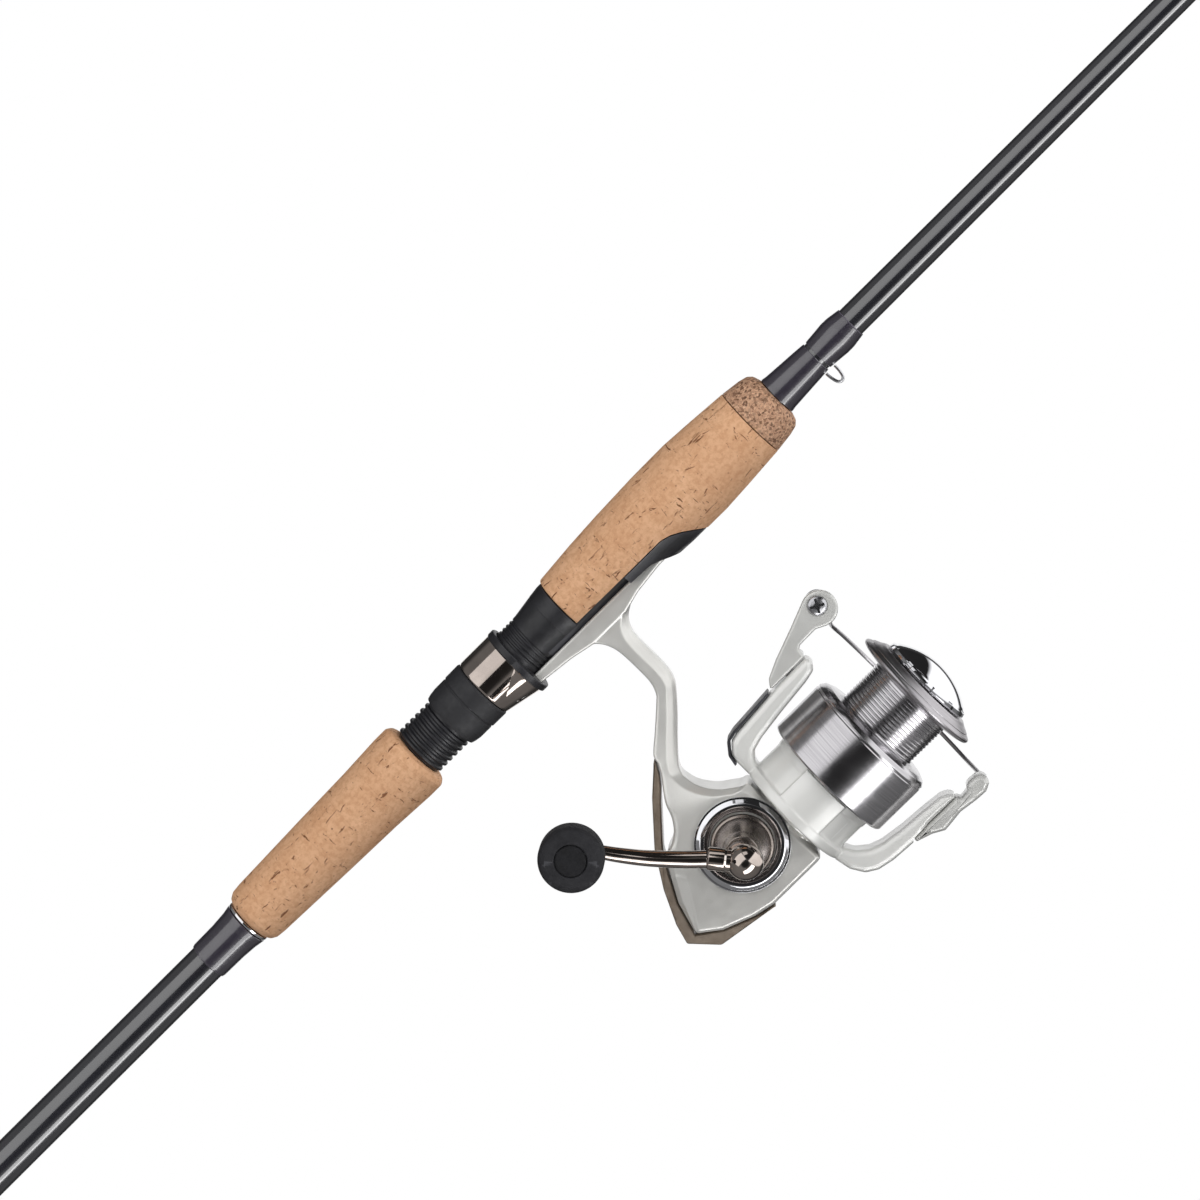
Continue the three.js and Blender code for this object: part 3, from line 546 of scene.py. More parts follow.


# First colour, second colour, edge colour (a painted edge highlight and wear), least and greatest roughness,
# and other settings.
PLAIN_LOOKS = {
    "rubber": ((34, 34, 37), (26, 26, 29), (60, 60, 64), (0.6, 0.8), dict(grain=1600, relief=0.03)),
    "foam": ((40, 40, 43), (30, 30, 33), (66, 66, 70), (0.7, 0.9),
             dict(grain=2200, relief=0.08, specular=0.3)),
    "foam_dark": ((24, 24, 27), (17, 17, 19), (44, 44, 47), (0.7, 0.9),
                  dict(grain=2200, relief=0.08, specular=0.3)),
    "seat_plastic": ((33, 33, 37), (24, 24, 27), (72, 72, 78), (0.34, 0.5),
                     dict(grain=1500, relief=0.015)),
    "soft_touch": ((38, 38, 41), (31, 31, 34), (70, 70, 75), (0.5, 0.68), dict(grain=1800, relief=0.02)),
    "ceramic": ((52, 56, 62), (40, 44, 50), (96, 100, 108), (0.06, 0.14), dict(relief=0.002, coat=0.5)),
    "felt": ((150, 144, 130), (128, 122, 108), (170, 164, 150), (0.85, 0.97),
             dict(grain=3000, relief=0.15)),
    "taupe_paint": ((158, 143, 127), (134, 119, 105), (176, 163, 150), (0.3, 0.42),
                    dict(metal=0.55, grain=2600, coat=0.4)),
    "polished_chrome": ((226, 226, 229), (214, 214, 218), (246, 246, 248), (0.03, 0.07),
                        dict(metal=1, relief=0.001)),
    "gunmetal_chrome": ((196, 184, 176), (176, 165, 158), (205, 198, 192), (0.05, 0.11),
                        dict(metal=1, relief=0.001)),
    "gunmetal_satin": ((168, 158, 151), (146, 137, 131), (205, 198, 192), (0.2, 0.3),
                       dict(metal=1, relief=0.003)),
    "steel": ((196, 196, 199), (176, 176, 180), (232, 232, 235), (0.16, 0.26),
              dict(metal=1, relief=0.003)),
    "brass": ((196, 158, 86), (178, 140, 72), (226, 196, 130), (0.24, 0.36),
              dict(metal=1, relief=0.004)),
}
cork_look()
burl_look()
blank_look()
wrap_look()
paint_look("pearl_paint", (212, 211, 207), (230, 229, 225), 0.4, 0.2)
# A darker copy of the white paint: painted shade for the shaded parts of the bail.
paint_look("shaded_white_paint", (200, 200, 197), (216, 216, 213), 0.2, 0.1)
paint_look("white_paint", (222, 222, 219), (233, 233, 230), 0.1, 0.1)
spun_look("anodised_aluminium", (176, 174, 177), (196, 194, 197), (0.16, 0.22))
spun_look("satin_aluminium", (160, 157, 160), (182, 179, 182), (0.3, 0.38))
for name, (one, other, edge_highlight_and_wear, rough, settings) in PLAIN_LOOKS.items():
    plain(name, one, other, rough, edge_highlight_and_wear=edge_highlight_and_wear, **settings)


def dress(obj, *names):
    obj.data.materials.clear()
    for name in names:
        obj.data.materials.append(LOOKS[name])


def paint_where(obj, index, test):
    """Gives the faces whose middle passes the test another of the object's materials."""
    for face in obj.data.polygons:
        if test(face.center / MM):
            face.material_index = index


def place(obj, body, slot, look=None, *more):
    """Hands over the piece NODE_fine, which stands for the CAD's NODE."""
    dress(obj, look or slot, *more)
    node = obj.name.removesuffix("_fine")
    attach(obj, body)
    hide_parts(node)


# ---- rod ----
def build_grips():
    place(turned("butt_cap_fine", "X", [
        (-352, 0), (-352, 10.8, 1.5), (-350.4, 12, 1), (-345.4, 12.2, 0.4), (-344.7, 12, 0.2),
        (-344.7, 6.9), (-345.3, 6.9), (-345.3, 0)], radius=0.2), "rod_butt", "rubber")
    place(turned("butt_grip_fine", "X", [
        (-344.4, 6.8), (-344.4, 11.4, 0.3), (-342, 11.9, 2), (-320, 11.6, 20), (-298, 10.6, 12),
        (-285, 10.2, 3), (-282.9, 9.4, 2), (-282, 7.4, 0.8), (-282, 6.8)]), "rod_butt", "cork")
    place(turned("rear_grip_fine", "X", [
        (-153.4, 6.7), (-153.4, 7.6, 0.5), (-152.6, 8.9, 1), (-151, 9.8, 1.5), (-148, 10.1, 3),
        (-120, 11, 30), (-100, 11.5, 20), (-86, 12.2, 8), (-81, 12.2, 1.6), (-79.6, 11.2, 1.2),
        (-79.1, 9.4, 0.8), (-79.1, 6.7)], facets=128), "rod_butt", "cork")
    fore = turned("foregrip_fine", "X", [
        (-14.5, 9), (-14.5, 10.8, 0.3), (-14, 11.1, 0.3), (0, 12.3, 15), (12, 13, 15), (28, 13.6, 14),
        (42, 13.7, 12), (52, 13.1, 12), (65.7, 12.1, 0.1), (65.7, 5.6), (36.4, 5.6), (36.4, 9)], facets=160)
    window = plate("window", [
        (-16, -5.6), (22, -5.6, 6), (25.2, -6.6, 4), (28.2, -8.3, 4), (31.2, -10.7, 4), (34.2, -13.5, 2),
        (34.8, -17), (-16, -17)], -16, 16, 0.01, radius=0.1)
    combined(fore, window)
    place(fore, "rod_butt", "cork")
    place(turned("foregrip_burl_ring_fine", "X", [
        (66, 5.6), (66, 12.05, 0.1), (72, 11.3, 4), (74.8, 10.6, 2), (76.2, 9.3, 1.5), (76.9, 7.2, 0.8),
        (76.9, 5.6)], facets=128), "rod_butt", "burl_cork")


def round_seat(start, end):
    return turned("sleeve", "X", [(start, SEAT_TUBE), (start, 20), (end, 20), (end, SEAT_TUBE)], facets=128)


def build_seat():
    pitch = 2.2
    profile = [(-78.8, 6.6), (-78.8, 8.2, 0.2)]
    for ridge in range(6):
        start = -78.4 + ridge * pitch
        profile += [(start + 0.1, 8.25, 0.25), (start + 0.55, 8.95, 0.25), (start + 1.25, 8.95, 0.25),
                    (start + 1.7, 8.25, 0.25)]
    profile += [(-64, 8.6, 0.3), (-34.6, 8.65)]
    for ridge in range(4):
        start = -34.2 + ridge * 1.5
        profile += [(start, 8.65, 0.15), (start + 0.3, 8.3, 0.15), (start + 0.75, 8.3, 0.15),
                    (start + 1.05, 8.65, 0.15)]
    profile += [(-27.5, 8.7, 3), (-20.2, 9.8, 1), (-20, 9.9, 0.2), (-19.6, 9.9, 0.2), (-16.5, 10.3, 1),
                (-14.9, 10.3, 0.3), (-14.9, 8.7), (36, 8.7, 0.2), (36, 6.6)]
    seat = turned("reel_seat_fine", "X", profile, facets=128)
    side = plate("hood_side", [
        (6, -5.9), (21.8, -5.9, 6), (25, -6.9, 4), (28, -8.6, 4), (31, -11, 4), (33.6, -13.3, 0.5),
        (33, -13.9, 0.4), (25.5, -13.9, 2), (22.5, -13.1, 3), (20, -11.8, 4), (17, -10.1, 4), (14, -9, 4),
        (6, -8.6)], -14, 14, 0.01, radius=0.1)
    round_ = turned("hood_round", "X", [(4, 0), (4, 13), (20, 13.1), (28, 13.5), (36, 13.5), (36, 0)],
                    facets=128)
    combined(side, round_, operation="INTERSECT")
    combined(seat, side, operation="UNION")
    bore = rod("X", -90, 40, BLANK_HOLE)
    pocket = plate("pocket", [(5, -7.6), (27.4, -7.6), (27.4, -11.6), (5, -11.6)], -5.2, 5.2, 0.01)
    combined(pocket, round_seat(4.9, 27.5), operation="INTERSECT")
    under = block((-34, -15, -15), (5, 15, -6))
    combined(under, round_seat(-35, 6), operation="INTERSECT")
    combined(seat, bore, pocket, under)
    place(seat, "rod_butt", "seat_plastic")


def build_hood_and_nut():
    band = turned("seat_hood_fine", "X", [
        (-50.2, 0), (-50.2, 10.1, 0.15), (-49.6, 10.3, 0.3), (-37.9, 10.3, 0.1), (-37.4, 10.6, 0.3),
        (-35.4, 10.6, 0.4), (-35.4, 0)], facets=160)
    bulge = turned("bulge", "X", [
        (-50.15, 0), (-50.15, 6.2, 0.2), (-38, 8.7, 0.1), (-37.8, 9.5, 0.3), (-35.5, 9.5, 0.4), (-35.5, 0)],
        facets=160)
    bulge.data.transform(Matrix.Translation((0, 0, -4.2 * MM)) @ Matrix.Diagonal((1, 1.2, 1, 1)))
    combined(band, bulge, operation="UNION", sharp=20)
    bore = rod("X", -60, -20, SADDLE, facets=96)
    pocket = plate("pocket", [(-45.2, -8), (-45.2, -10.4), (-38, -11.4), (-30, -11.6), (-30, -8)],
                   -5.2, 5.2, 0.01)
    combined(band, bore, pocket, sharp=20)
    place(band, "seat_hood", "gunmetal_chrome", "gunmetal_chrome", "seat_plastic")
    paint_where(band, 1, lambda p: p.x > -37.75)
    place(turned("lock_nut_fine", "X", [
        (-64.8, 9.25), (-64.8, 9.6, 0.3), (-63.4, 10, 0.8), (-61.5, 10.3, 0.8), (-57.2, 10.3, 0.2),
        (-56.9, 10.1, 0.1), (-56.6, 10.1, 0.1), (-56.3, 10.45, 0.2), (-51, 10.5, 0.3), (-50.5, 10.2, 0.2),
        (-50.5, 9.25)],
        shape=lambda a, r, angle: r - (0.12 * max(0, cos(12 * angle)) if -63 < a < -57.3 else 0),
        facets=144), "lock_nut", "seat_plastic", "soft_touch")


def build_blank_and_wraps():
    place(turned("butt_blank_fine", "X", [
        (-345, 5.2), (-345, 6.4), (-154, 6.2), (78, 5.1), (160, 4.85), (400, 4.05), (629.6, 3.33, 0.2),
        (630, 3.3, 0.1), (635, 3.05, 0.3), (685.6, 2.9, 0.2), (686, 2.7), (686, 1.9)], facets=64),
          "rod_butt", "graphite_blank")
    for node, look, profile in (
            ("rear_trim_wrap", "thread_wrap", [
                (-172, 6.52), (-172, 6.65, 0.2), (-171.2, 6.8, 0.4), (-163, 6.92, 5), (-158, 7.3, 3),
                (-155, 7.8, 0.3), (-155, 6.52)]),
            ("rear_winding_check", "polished_chrome", [
                (-154.7, 6.55), (-154.7, 7.8, 0.3), (-153.7, 7.9, 0.3), (-153.7, 6.55)]),
            ("fore_trim_wrap", "thread_wrap", [
                (77.2, 5.42), (77.2, 6.8, 0.3), (79, 6.5, 2), (85, 6.1, 3), (90, 5.8, 3), (93.8, 5.5, 0.5),
                (94, 5.42)]),
            ("keeper_wrap", "thread_wrap", [
                (95, 5.36), (95.1, 5.42, 0.5), (98.4, 5.7, 3), (102, 6.05, 2), (104.6, 6, 2),
                (108.6, 5.4, 1), (109, 5.3)])):
        place(turned(f"{node}_fine", "X", profile, facets=64), "rod_butt", look)
    place(swept("hook_keeper_fine", [
        (92.7, 0, -5.8), (92.9, 0, -8), (93.5, 0, -10), (94.6, 0, -10.7), (95.7, 0, -10), (96.2, 0, -8),
        (96.3, 0, -5.8)], 0.5, 12), "rod_butt", "steel")
    place(turned("tip_blank_fine", "X", [
        (1500, 0), (1500, 0.5), (1250, 1.1), (702, 2.6), (690, 3.36), (638, 3.42), (638, 4.1, 0.2),
        (638.6, 4.2, 0.3), (692, 4.1, 3), (702, 3.5, 3), (1250, 1.9), (1604, 1.05), (1619, 0.95, 0.2),
        (1619, 0)], facets=48), "tip_section", "graphite_blank")


GUIDES = {1: (560, 12, 26), 2: (872, 8, 18), 3: (1112, 5.6, 12.5), 4: (1312, 4.2, 9.2), 5: (1486, 3.6, 7.6)}


def guide_legs(x, blank, ring, height):
    """The bent wires that hold a guide's ring, from its two feet."""
    top = -(blank + 0.3)
    legs = []
    for side in (-1, 1):
        legs.append([(x + 5 + ring * 0.8, side * 0.5, top - 0.4), (x + 5, side * 0.5, top - 0.5),
                     (x + 2, side * ring * 0.4, (top - height + ring * 0.78) / 2),
                     (x, side * ring * 0.8, -height + ring * 0.86)])
        legs.append([(x - height, side * 0.5, top - 0.4), (x - height * 0.9, side * 0.6, top - 0.7),
                     (x - height * 0.45, side * ring * 0.6, (top - height) / 2),
                     (x - 0.2, side * (ring + 0.8), -height + ring * 0.35)])
    return legs


def guide_hoop(x, ring, height, half, facets):
    return turned("hoop", "X", [
        (x - half, ring + 0.32), (x - half, ring + 1.1, 0.3), (x + half, ring + 1.1, 0.3),
        (x + half, ring + 0.32)], (0, -height), facets)


def build_guides():
    for number, (x, ring, height) in GUIDES.items():
        body = "rod_butt" if number == 1 else "tip_section"
        low, high = limits_of(f"guide_{number}_frame")
        top = high.z
        pieces = [guide_hoop(x, ring, height, 0.55, 64)]
        for leg in guide_legs(x, -top - 0.3, ring, height):
            pieces.append(swept("leg", leg, GUIDE_WIRE, 10))
        for ends in ((x + 4, high.x), (low.x, x - height * 0.85)):
            pieces.append(plate("foot", [
                (ends[0], top - 0.8), (ends[1], top - 0.8), (ends[1], top), (ends[0], top)], -1, 1, 0.2))
        obj = joined(f"guide_{number}_frame_fine", pieces)
        place(obj, body, "gunmetal_chrome")
        guide_ring(f"guide_{number}_ring", x, ring, height, body)
    x, ring, height = 1628, 3, 5.2
    sleeve = turned("sleeve", "X", [
        (1606, 1.25), (1606, 1.8, 0.2), (1620, 1.8, 0.4), (1620, 0), (1619.3, 0), (1619.3, 1.25)], facets=32)
    pieces = [sleeve, guide_hoop(x, ring, height, 0.5, 48)]
    for side in (-1, 1):
        pieces.append(swept("leg", [(1617, side * 1.2, -0.3), (1623, side * 1.9, -1.1),
                                    (1628, side * 2.7, -height + 2.9)], GUIDE_WIRE, 10))
        pieces.append(swept("leg", [(1608, side * 0.8, -1.5), (1618, side * 2.4, -3.6),
                                    (1628, side * 3.5, -height - 1.4)], GUIDE_WIRE, 10))
    top = joined("tip_top_frame_fine", pieces)
    place(top, "tip_section", "gunmetal_chrome")
    guide_ring("tip_top_ring", x, ring, height, "tip_section")


def guide_ring(node, x, ring, height, body):
    bore = ring * 0.78 - 0.2
    place(turned(f"{node}_fine", "X", [
        (x - 0.9, bore + 0.4, 0.3), (x - 0.9, ring - 0.25, 0.2), (x - 0.5, ring, 0.2), (x + 0.5, ring, 0.2),
        (x + 0.9, ring - 0.25, 0.2), (x + 0.9, bore + 0.4, 0.3), (x, bore, 0.5)],
        (0, -height), 64), body, "ceramic")


# ---- reel: casting and covers ----
CASE = [
    (-12.3, -78), (-17, -75), (-21.5, -71.5), (-24.2, -67), (-25, -62), (-29.6, -58.2),
    (-34.8, -62.9), (-35.8, -67), (-38, -71.2), (-41, -74), (-46, -75.2), (-49.6, -81),
    (-54, -89), (-57, -99.4), (-50, -104.6), (-40, -108.4), (-33, -109.9), (-12.3, -109.9)]
CHAMBER = [
    (-15.2, -79.6), (-19.5, -77), (-27, -76.4), (-44, -78), (-47.6, -82.6), (-52, -91),
    (-54, -98.6), (-48.6, -102.4), (-39, -106), (-33, -107.2), (-15.2, -107.2)]
# Sections of the stem down into the case: back edge, front edge, half width on the crank's side,
# half width on the far side, width of the back chamfer, width of the front chamfer.
STEM = [
    (-24, -11.6, 6, -11.6, 4.6, 4.6, 0.9, 2.4), (-18, -13, 1.2, -13.4, 4.6, 4.6, 0.9, 3),
    (-14.9, -15.4, -2.4, -15.6, 4.6, 4.6, 0.9, 3.2), (-12.9, -19, -4.5, -18.6, 4.6, 4.6, 0.9, 3.3),
    (-12.1, -24, -5.3, -23, 4.6, 4.6, 0.9, 3.3), (-12.1, -34, -5.3, -34, 4.6, 4.6, 0.9, 3.3),
    (-13.4, -38.4, -6.4, -39.4, 4.7, 4.6, 0.9, 3.3), (-15.2, -40.4, -9.3, -43.3, 4.8, 4.7, 0.9, 3.3),
    (-18, -43, -13.4, -47.8, 5, 4.9, 0.9, 3.3), (-22.6, -47.1, -18, -52.4, 5.6, 5.2, 0.9, 3.4),
    (-27.2, -51.2, -22, -56.6, 6.6, 5.8, 0.9, 3.5), (-28.2, -54.2, -24.2, -59.4, 7.4, 6.3, 0.9, 3.5),
    (-29.9, -57.5, -25.1, -62, 8.2, 6.8, 0.9, 3.6), (-32.5, -60.8, -24.5, -66.2, 9.3, 7.5, 1.1, 3.6),
    (-34.9, -64.4, -22.6, -69.8, 10.3, 8, 1.4, 3.6), (-36.4, -68.4, -20, -72.8, 11.1, 8.3, 1.8, 3.6),
    (-38.8, -71.8, -17, -75, 11.5, 8.5, 2, 3.6), (-42, -74.2, -14.6, -76.7, 11.5, 8.5, 2.6, 3.4),
    (-46, -76, -12.3, -78, 11.5, 8.5, 4, 2.8), (-49.4, -81, -12.3, -84, 11.5, 8.5, 4.9, 1.6),
    (-52, -86, -12.4, -88, 11.4, 8.4, 5.1, 1.6)]
LOWER_CASE = [
    (-12.3, -81.5), (-24, -80), (-46, -79.5), (-49.6, -81), (-54, -89), (-57, -99.4), (-50, -104.6),
    (-40, -108.4), (-33, -109.9), (-12.3, -109.9)]
FOOT = [
    (-44.8, -8), (-44.8, -10), (-37.6, -11.1), (-24, -12.6), (-16, -14.2), (-2, -14.2), (5, -12.4),
    (15, -11.2), (26.6, -10.9), (26.6, -8)]


def stem_section(back, front, near, far, back_chamfer, front_chamfer):
    """A slice across the stem, with a wide chamfer along its front edge."""
    width = (front - back).length
    flush = min(1, max(0, (far - 5) / 2))

    def half(chamfer):
        drop = 0.3 + 0.55 * chamfer
        return [(0, 0.3 + 0.4 * back_chamfer), (0.35 * back_chamfer, 0.2 * back_chamfer), (back_chamfer, 0),
                (width - chamfer, 0), (width - 0.4 * chamfer, 0.62 * drop), (width, drop + 0.5 - 0.5 * flush)]
    ring = [(along, down - near) for along, down in half(front_chamfer)]
    ring += [(along, far - down) for along, down in reversed(half(front_chamfer * (1 - 0.85 * flush)))]
    across = (front - back).normalized()
    return [(back.x + across.x * along, y, back.y + across.y * along) for along, y in ring]


def stem_and_shoulder():
    fine = curve_points([row[:3] for row in STEM], 150)
    other = curve_points([row[3:6] for row in STEM], 150)
    chamfers = curve_points([(row[6], row[7], 0) for row in STEM], 150)
    return lofted("stem", [
        stem_section(Vector((a.x, a.y)), Vector((a.z, b.x)), b.y, b.z, c.x, c.y)
        for a, b, c in zip(fine, other, chamfers)])


def case_inset(point):
    """A wide facet down the back of the case that runs out in its lowest corner."""
    if point.x > -45 or point.y < -99:
        return 1.3
    return 1.3 + 3.8 * min(1, (point.y + 99.4) / 9)


def build_reel_body():
    case = plate("case", LOWER_CASE, -11.5, 8.5, case_inset, 3, radius=2)
    boss = turned("boss", "Y", [(-11.5, 0), (-11.5, 15, 0.5), (-9.6, 15.2, 0.5), (-9.6, 0)], CRANK_AXIS)
    stem = stem_and_shoulder()
    foot = plate("foot", FOOT, -4.9, 4.9, 0.7, 0.7, radius=1)
    neck = turned("neck", "X", [
        (-14, 0), (-14, 8.3), (-12, 8.3), (-12, 12.6, 0.3), (-1.8, 12.6, 0.3), (-1.8, 0)], SPOOL_AXIS)
    body = cast("reel_body_fine", [case, boss, stem, foot, neck], 0.33, 2)
    saddle = rod("X", -60, 60, SADDLE, facets=128)
    chamber = plate("chamber", CHAMBER, -9.3, 13.5, 0.01)
    bore = turned("bore", "X", [
        (-20, 0), (-20, 4.4), (-12, 4.4), (-12, 6.5), (-8, 6.5), (-8, 10.1), (0, 10.1), (0, 0)],
        SPOOL_AXIS, 64)
    crank = rod("Y", -20, -5, CRANK_HOLE, CRANK_AXIS)
    combined(body, saddle, chamber, bore, crank, sharp=50)
    place(body, "rod_butt", "pearl_paint")
    cover = plate("cover", inset_points(CASE, 0.9), 8.8, 12.2, 1.4, 1.2, radius=3)
    seat = turned("seat", "Y", [(8.7, 0), (8.7, 8.6), (12.4, 8.5, 0.3), (13.2, 7.9, 0.5), (13.2, 0)],
                  CRANK_AXIS)
    side = cast("side_cover_fine", [cover, seat], 0.3, 3)
    hole = rod("Y", 8, 11.5, CRANK_HOLE, CRANK_AXIS)
    flat = block((-70, 8, -120), (0, 8.82, -50))
    combined(side, hole, flat, sharp=50)
    place(side, "rod_butt", "pearl_paint")


def build_reel_trim():
    rear = plate("rear_cover_fine", [
        (-28, -52.2), (-36.8, -60.2), (-47.6, -72), (-54.6, -83), (-59.6, -93.5), (-61.4, -100, 1),
        (-54, -107.8, 2), (-33.6, -110.9, 0.2), (-33.2, -110.4, 0.1), (-40.1, -108.8), (-50.1, -105),
        (-57.5, -99.8, 0.3), (-54.4, -88.9), (-50, -80.8), (-46.3, -74.6), (-35.5, -62.9),
        (-32.8, -60.2), (-30.3, -57.1), (-28.5, -53.8)], -8, 8, 0.45, 1.6, radius=4)
    place(rear, "rod_butt", "taupe_paint")
    place(turned("side_ring_fine", "Y", [
        (-11.85, 10.3), (-11.85, 14.6, 0.2), (-12.2, 14.95, 0.2), (-12.6, 14.9, 0.1), (-12.65, 14.2, 0.1),
        (-13.5, 13, 1.2), (-13.6, 11.8, 1.5), (-12.9, 10.5, 0.8), (-12.6, 10.3)],
        CRANK_AXIS, 128), "rod_butt", "polished_chrome")
    place(turned("side_cap_fine", "Y", [
        (13.5, 0), (13.5, 7.2, 0.2), (14.6, 7.2, 0.4), (15.8, 6.3, 0.8), (16.2, 4.4, 0.6), (15.7, 3.6, 0.4),
        (15.5, 0)], CRANK_AXIS, 96,
        shape=lambda a, r, angle: r - (0.22 * max(0, cos(20 * angle)) if r > 6.5 and a < 15 else 0)),
          "rod_butt", "polished_chrome")


# ---- reel: crank ----
ARM = Vector((KNOB.x - CRANK.x, 0, KNOB.z - CRANK.z))
ARM_REACH = ARM.length
ARM_DIRECTION = ARM.normalized()
ARM_ANGLE = -atan2(ARM_DIRECTION.z, ARM_DIRECTION.x)


def set_down(obj, centre, angle):
    """Turns a piece drawn at the origin about Y, and moves it to the centre."""
    obj.data.transform(Matrix.Translation((centre.x * MM, 0, centre.z * MM)) @ Matrix.Rotation(angle, 4, "Y"))


def sphere_arc(centre, r, start, end, steps=16):
    """Profile points on a ball, from one position along the axis to the other."""
    first = acos(max(-1, min(1, (start - centre) / r)))
    last = acos(max(-1, min(1, (end - centre) / r)))
    angles = [first + (last - first) * k / steps for k in range(steps + 1)]
    return [(centre + r * cos(a), max(0, r * sin(a))) for a in angles]


def build_crank():
    place(turned("handle_collar_fine", "Y", [
        (-12.9, 2.3), (-12.9, 9.7, 0.2), (-13.5, 9.9, 0.3), (-14.3, 9.5, 0.3), (-14.6, 8.9, 0.15),
        (-15, 8.8, 0.15), (-18.6, 7.3, 2), (-22, 6, 2), (-26, 5, 0.4), (-26, 2.3)], CRANK_AXIS, 128),
          "crank", "gunmetal_chrome", "gunmetal_satin")
    hub = turned("handle_hub_fine", "Y", [
        (-30.2, 0), (-30.2, 2.3), (-26.3, 2.3), (-26.3, 4.2, 0.3), (-29, 4.4, 1), (-32, 4.8, 1),
        (-37, 5), (-37, 0)], (0, 0), 96)
    ball = turned("ball", "Y", sphere_arc(-41, 5.6, -36.4, -46.6), (-1.2, 0), 96)
    stub = turned("stub", "X", [
        (0, 0), (0, 3.3), (4.6, 3.3, 0.1), (5.2, 3.55, 0.2), (9.9, 3.55, 0.3), (10.4, 3.1, 0.2), (10.4, 0)],
        (-41, 0), 48)
    combined(hub, ball, stub, operation="UNION", sharp=30)
    set_down(hub, CRANK, ARM_ANGLE)
    place(hub, "crank", "gunmetal_chrome")
    path = [(10.7, -41, 0.4), (18, -41.7, 1.1), (28, -43.3, 1.5), (37, -45.1, 1.1), (44, -46.2, 0.4),
            (ARM_REACH - 1, -46.6, 0)]
    bar = swept("handle_arm_fine", path, lambda t: 2.7 - 0.85 * t ** 1.5, 32, 60)
    eye = turned("eye", "Y", [
        (-48.9, 0), (-48.9, 3.1, 0.3), (-48.3, 3.3, 0.3), (-45, 3.3, 0.3), (-44.4, 3, 0.3), (-44.4, 0)],
        (ARM_REACH, 0), 64)
    pin = turned("pin", "Y", [(-66, 0), (-66, 1.6, 0.2), (-46, 1.6), (-46, 0)], (ARM_REACH, 0), 32)
    combined(bar, eye, pin, operation="UNION", sharp=30)
    set_down(bar, CRANK, ARM_ANGLE)
    place(bar, "crank", "gunmetal_chrome")


def build_knob():
    place(turned("handle_knob_fine", "Y", [
        (-66.4, 0), (-66.4, 1.95), (-49.2, 1.95), (-49.2, 3.5, 0.3), (-51, 3.9, 1), (-53, 4.4, 1.5),
        (-55.5, 7.4, 2), (-57.5, 9.4, 1.5), (-60, 9.95, 1.5), (-67.4, 9.95, 1.2), (-69.4, 9.2, 1),
        (-70, 7.8, 0.6), (-70, 5.1, 0.4), (-69.2, 4.9, 0.2), (-69, 4.6), (-69, 0)], KNOB_AXIS, 128),
          "handle_knob", "rubber", "foam")
    place(turned("knob_insert_fine", "Y", [
        (-69.3, 0), (-69.3, 4.6, 0.1), (-69.7, 4.6, 0.15), (-69.8, 4.2, 0.2), (-69.75, 1.5, 0.3), (-69.7, 0)],
        KNOB_AXIS, 64), "handle_knob", "rubber", "foam_dark")


# ---- reel: rotor and bail ----
UPPER_ARM = [
    (-10.8, -80), (-10.8, -71), (-10.2, -68.4), (-7.6, -65.4), (-4.6, -64.6), (12.3, -63.2),
    (27.2, -62.9), (27.3, -65.6), (26, -67.4), (22, -68.3), (10, -69.6), (0, -71), (-4.2, -72.2),
    (-6.4, -74.6), (-7.2, -78), (-7.2, -80)]
LOWER_ARM = [
    (-10.8, -109), (-10.6, -114), (-9.6, -119), (-7, -123.2), (-3.4, -125.4), (2, -126.5),
    (12.6, -127.1), (16.3, -126.2), (17.4, -125.8), (29.2, -125.8), (29.2, -124.8), (28.2, -123.6),
    (26, -122.5), (20, -121.9), (10, -121.2), (3, -120.2), (-1, -118.8), (-4.4, -116),
    (-6.4, -112.4), (-7, -109)]


def sector(name, x0, x1, inner, outer, middle, half):
    """Part of a ring round the rotor's axis, between two angles in degrees."""
    rings = []
    steps = 24
    for k in range(steps + 1):
        angle = radians(middle - half + 2 * half * k / steps)
        rings.append([(x, r * cos(angle), SPOOL_Z + r * sin(angle))
                      for x, r in ((x0, inner), (x1, inner), (x1, outer), (x0, outer))])
    return lofted(name, rings)


def build_rotor():
    cup = turned("cup", "X", [
        (-10.6, 16.6), (-10.6, 19.2, 0.4), (-10.2, 19.6, 0.4), (-7.4, 19.6, 0.4), (-7, 18, 0.4),
        (2, 18, 0.3), (2.3, 18.3, 0.3), (17.4, 18.4, 0.3), (17.4, 17), (2.6, 17), (2.6, 3.3), (-1.1, 3.3),
        (-1.1, 16.6)], SPOOL_AXIS, 128)
    pieces = [cup, plate("upper", UPPER_ARM, -6.2, 6.2, 1.9, 1.7, radius=2),
              plate("lower", LOWER_ARM, -6.2, 6.2, 1.9, 1.7, radius=2)]
    for side in (180, 0):
        pieces.append(sector("web", -9, 4.4, 16.8, 19.3, side, 26))
    rotor = cast("rotor_fine", pieces, 0.33, 2)
    holes = [rod("Z", a, b, PIVOT_HOLE, (PIVOT_X, 0), 32) for a, b in ((-68, -60), (-130, -122.6))]
    holes.append(rod("Z", -129, -125.8, 11, (PIVOT_X, 0)))
    combined(rotor, *holes, sharp=60)
    place(rotor, "rotor", "white_paint")
    strip = plate("rotor_arm_cover_fine", [
        (-11.9, -71.4), (-11.2, -67.8, 2), (-8.3, -64.2, 2), (-5, -63.4, 2), (11, -62.3), (11, -63),
        (-4.7, -64.2, 2), (-7.8, -65, 2), (-10.5, -68.2, 2), (-11.2, -71.4)], -5.4, 5.4, 0.12, 0.4)
    place(strip, "rotor", "seat_plastic")


def round_end(x, z, r, start, end, steps):
    angles = [radians(start + (end - start) * i / steps) for i in range(steps + 1)]
    return [(x + r * cos(angle), z + r * sin(angle)) for angle in angles]


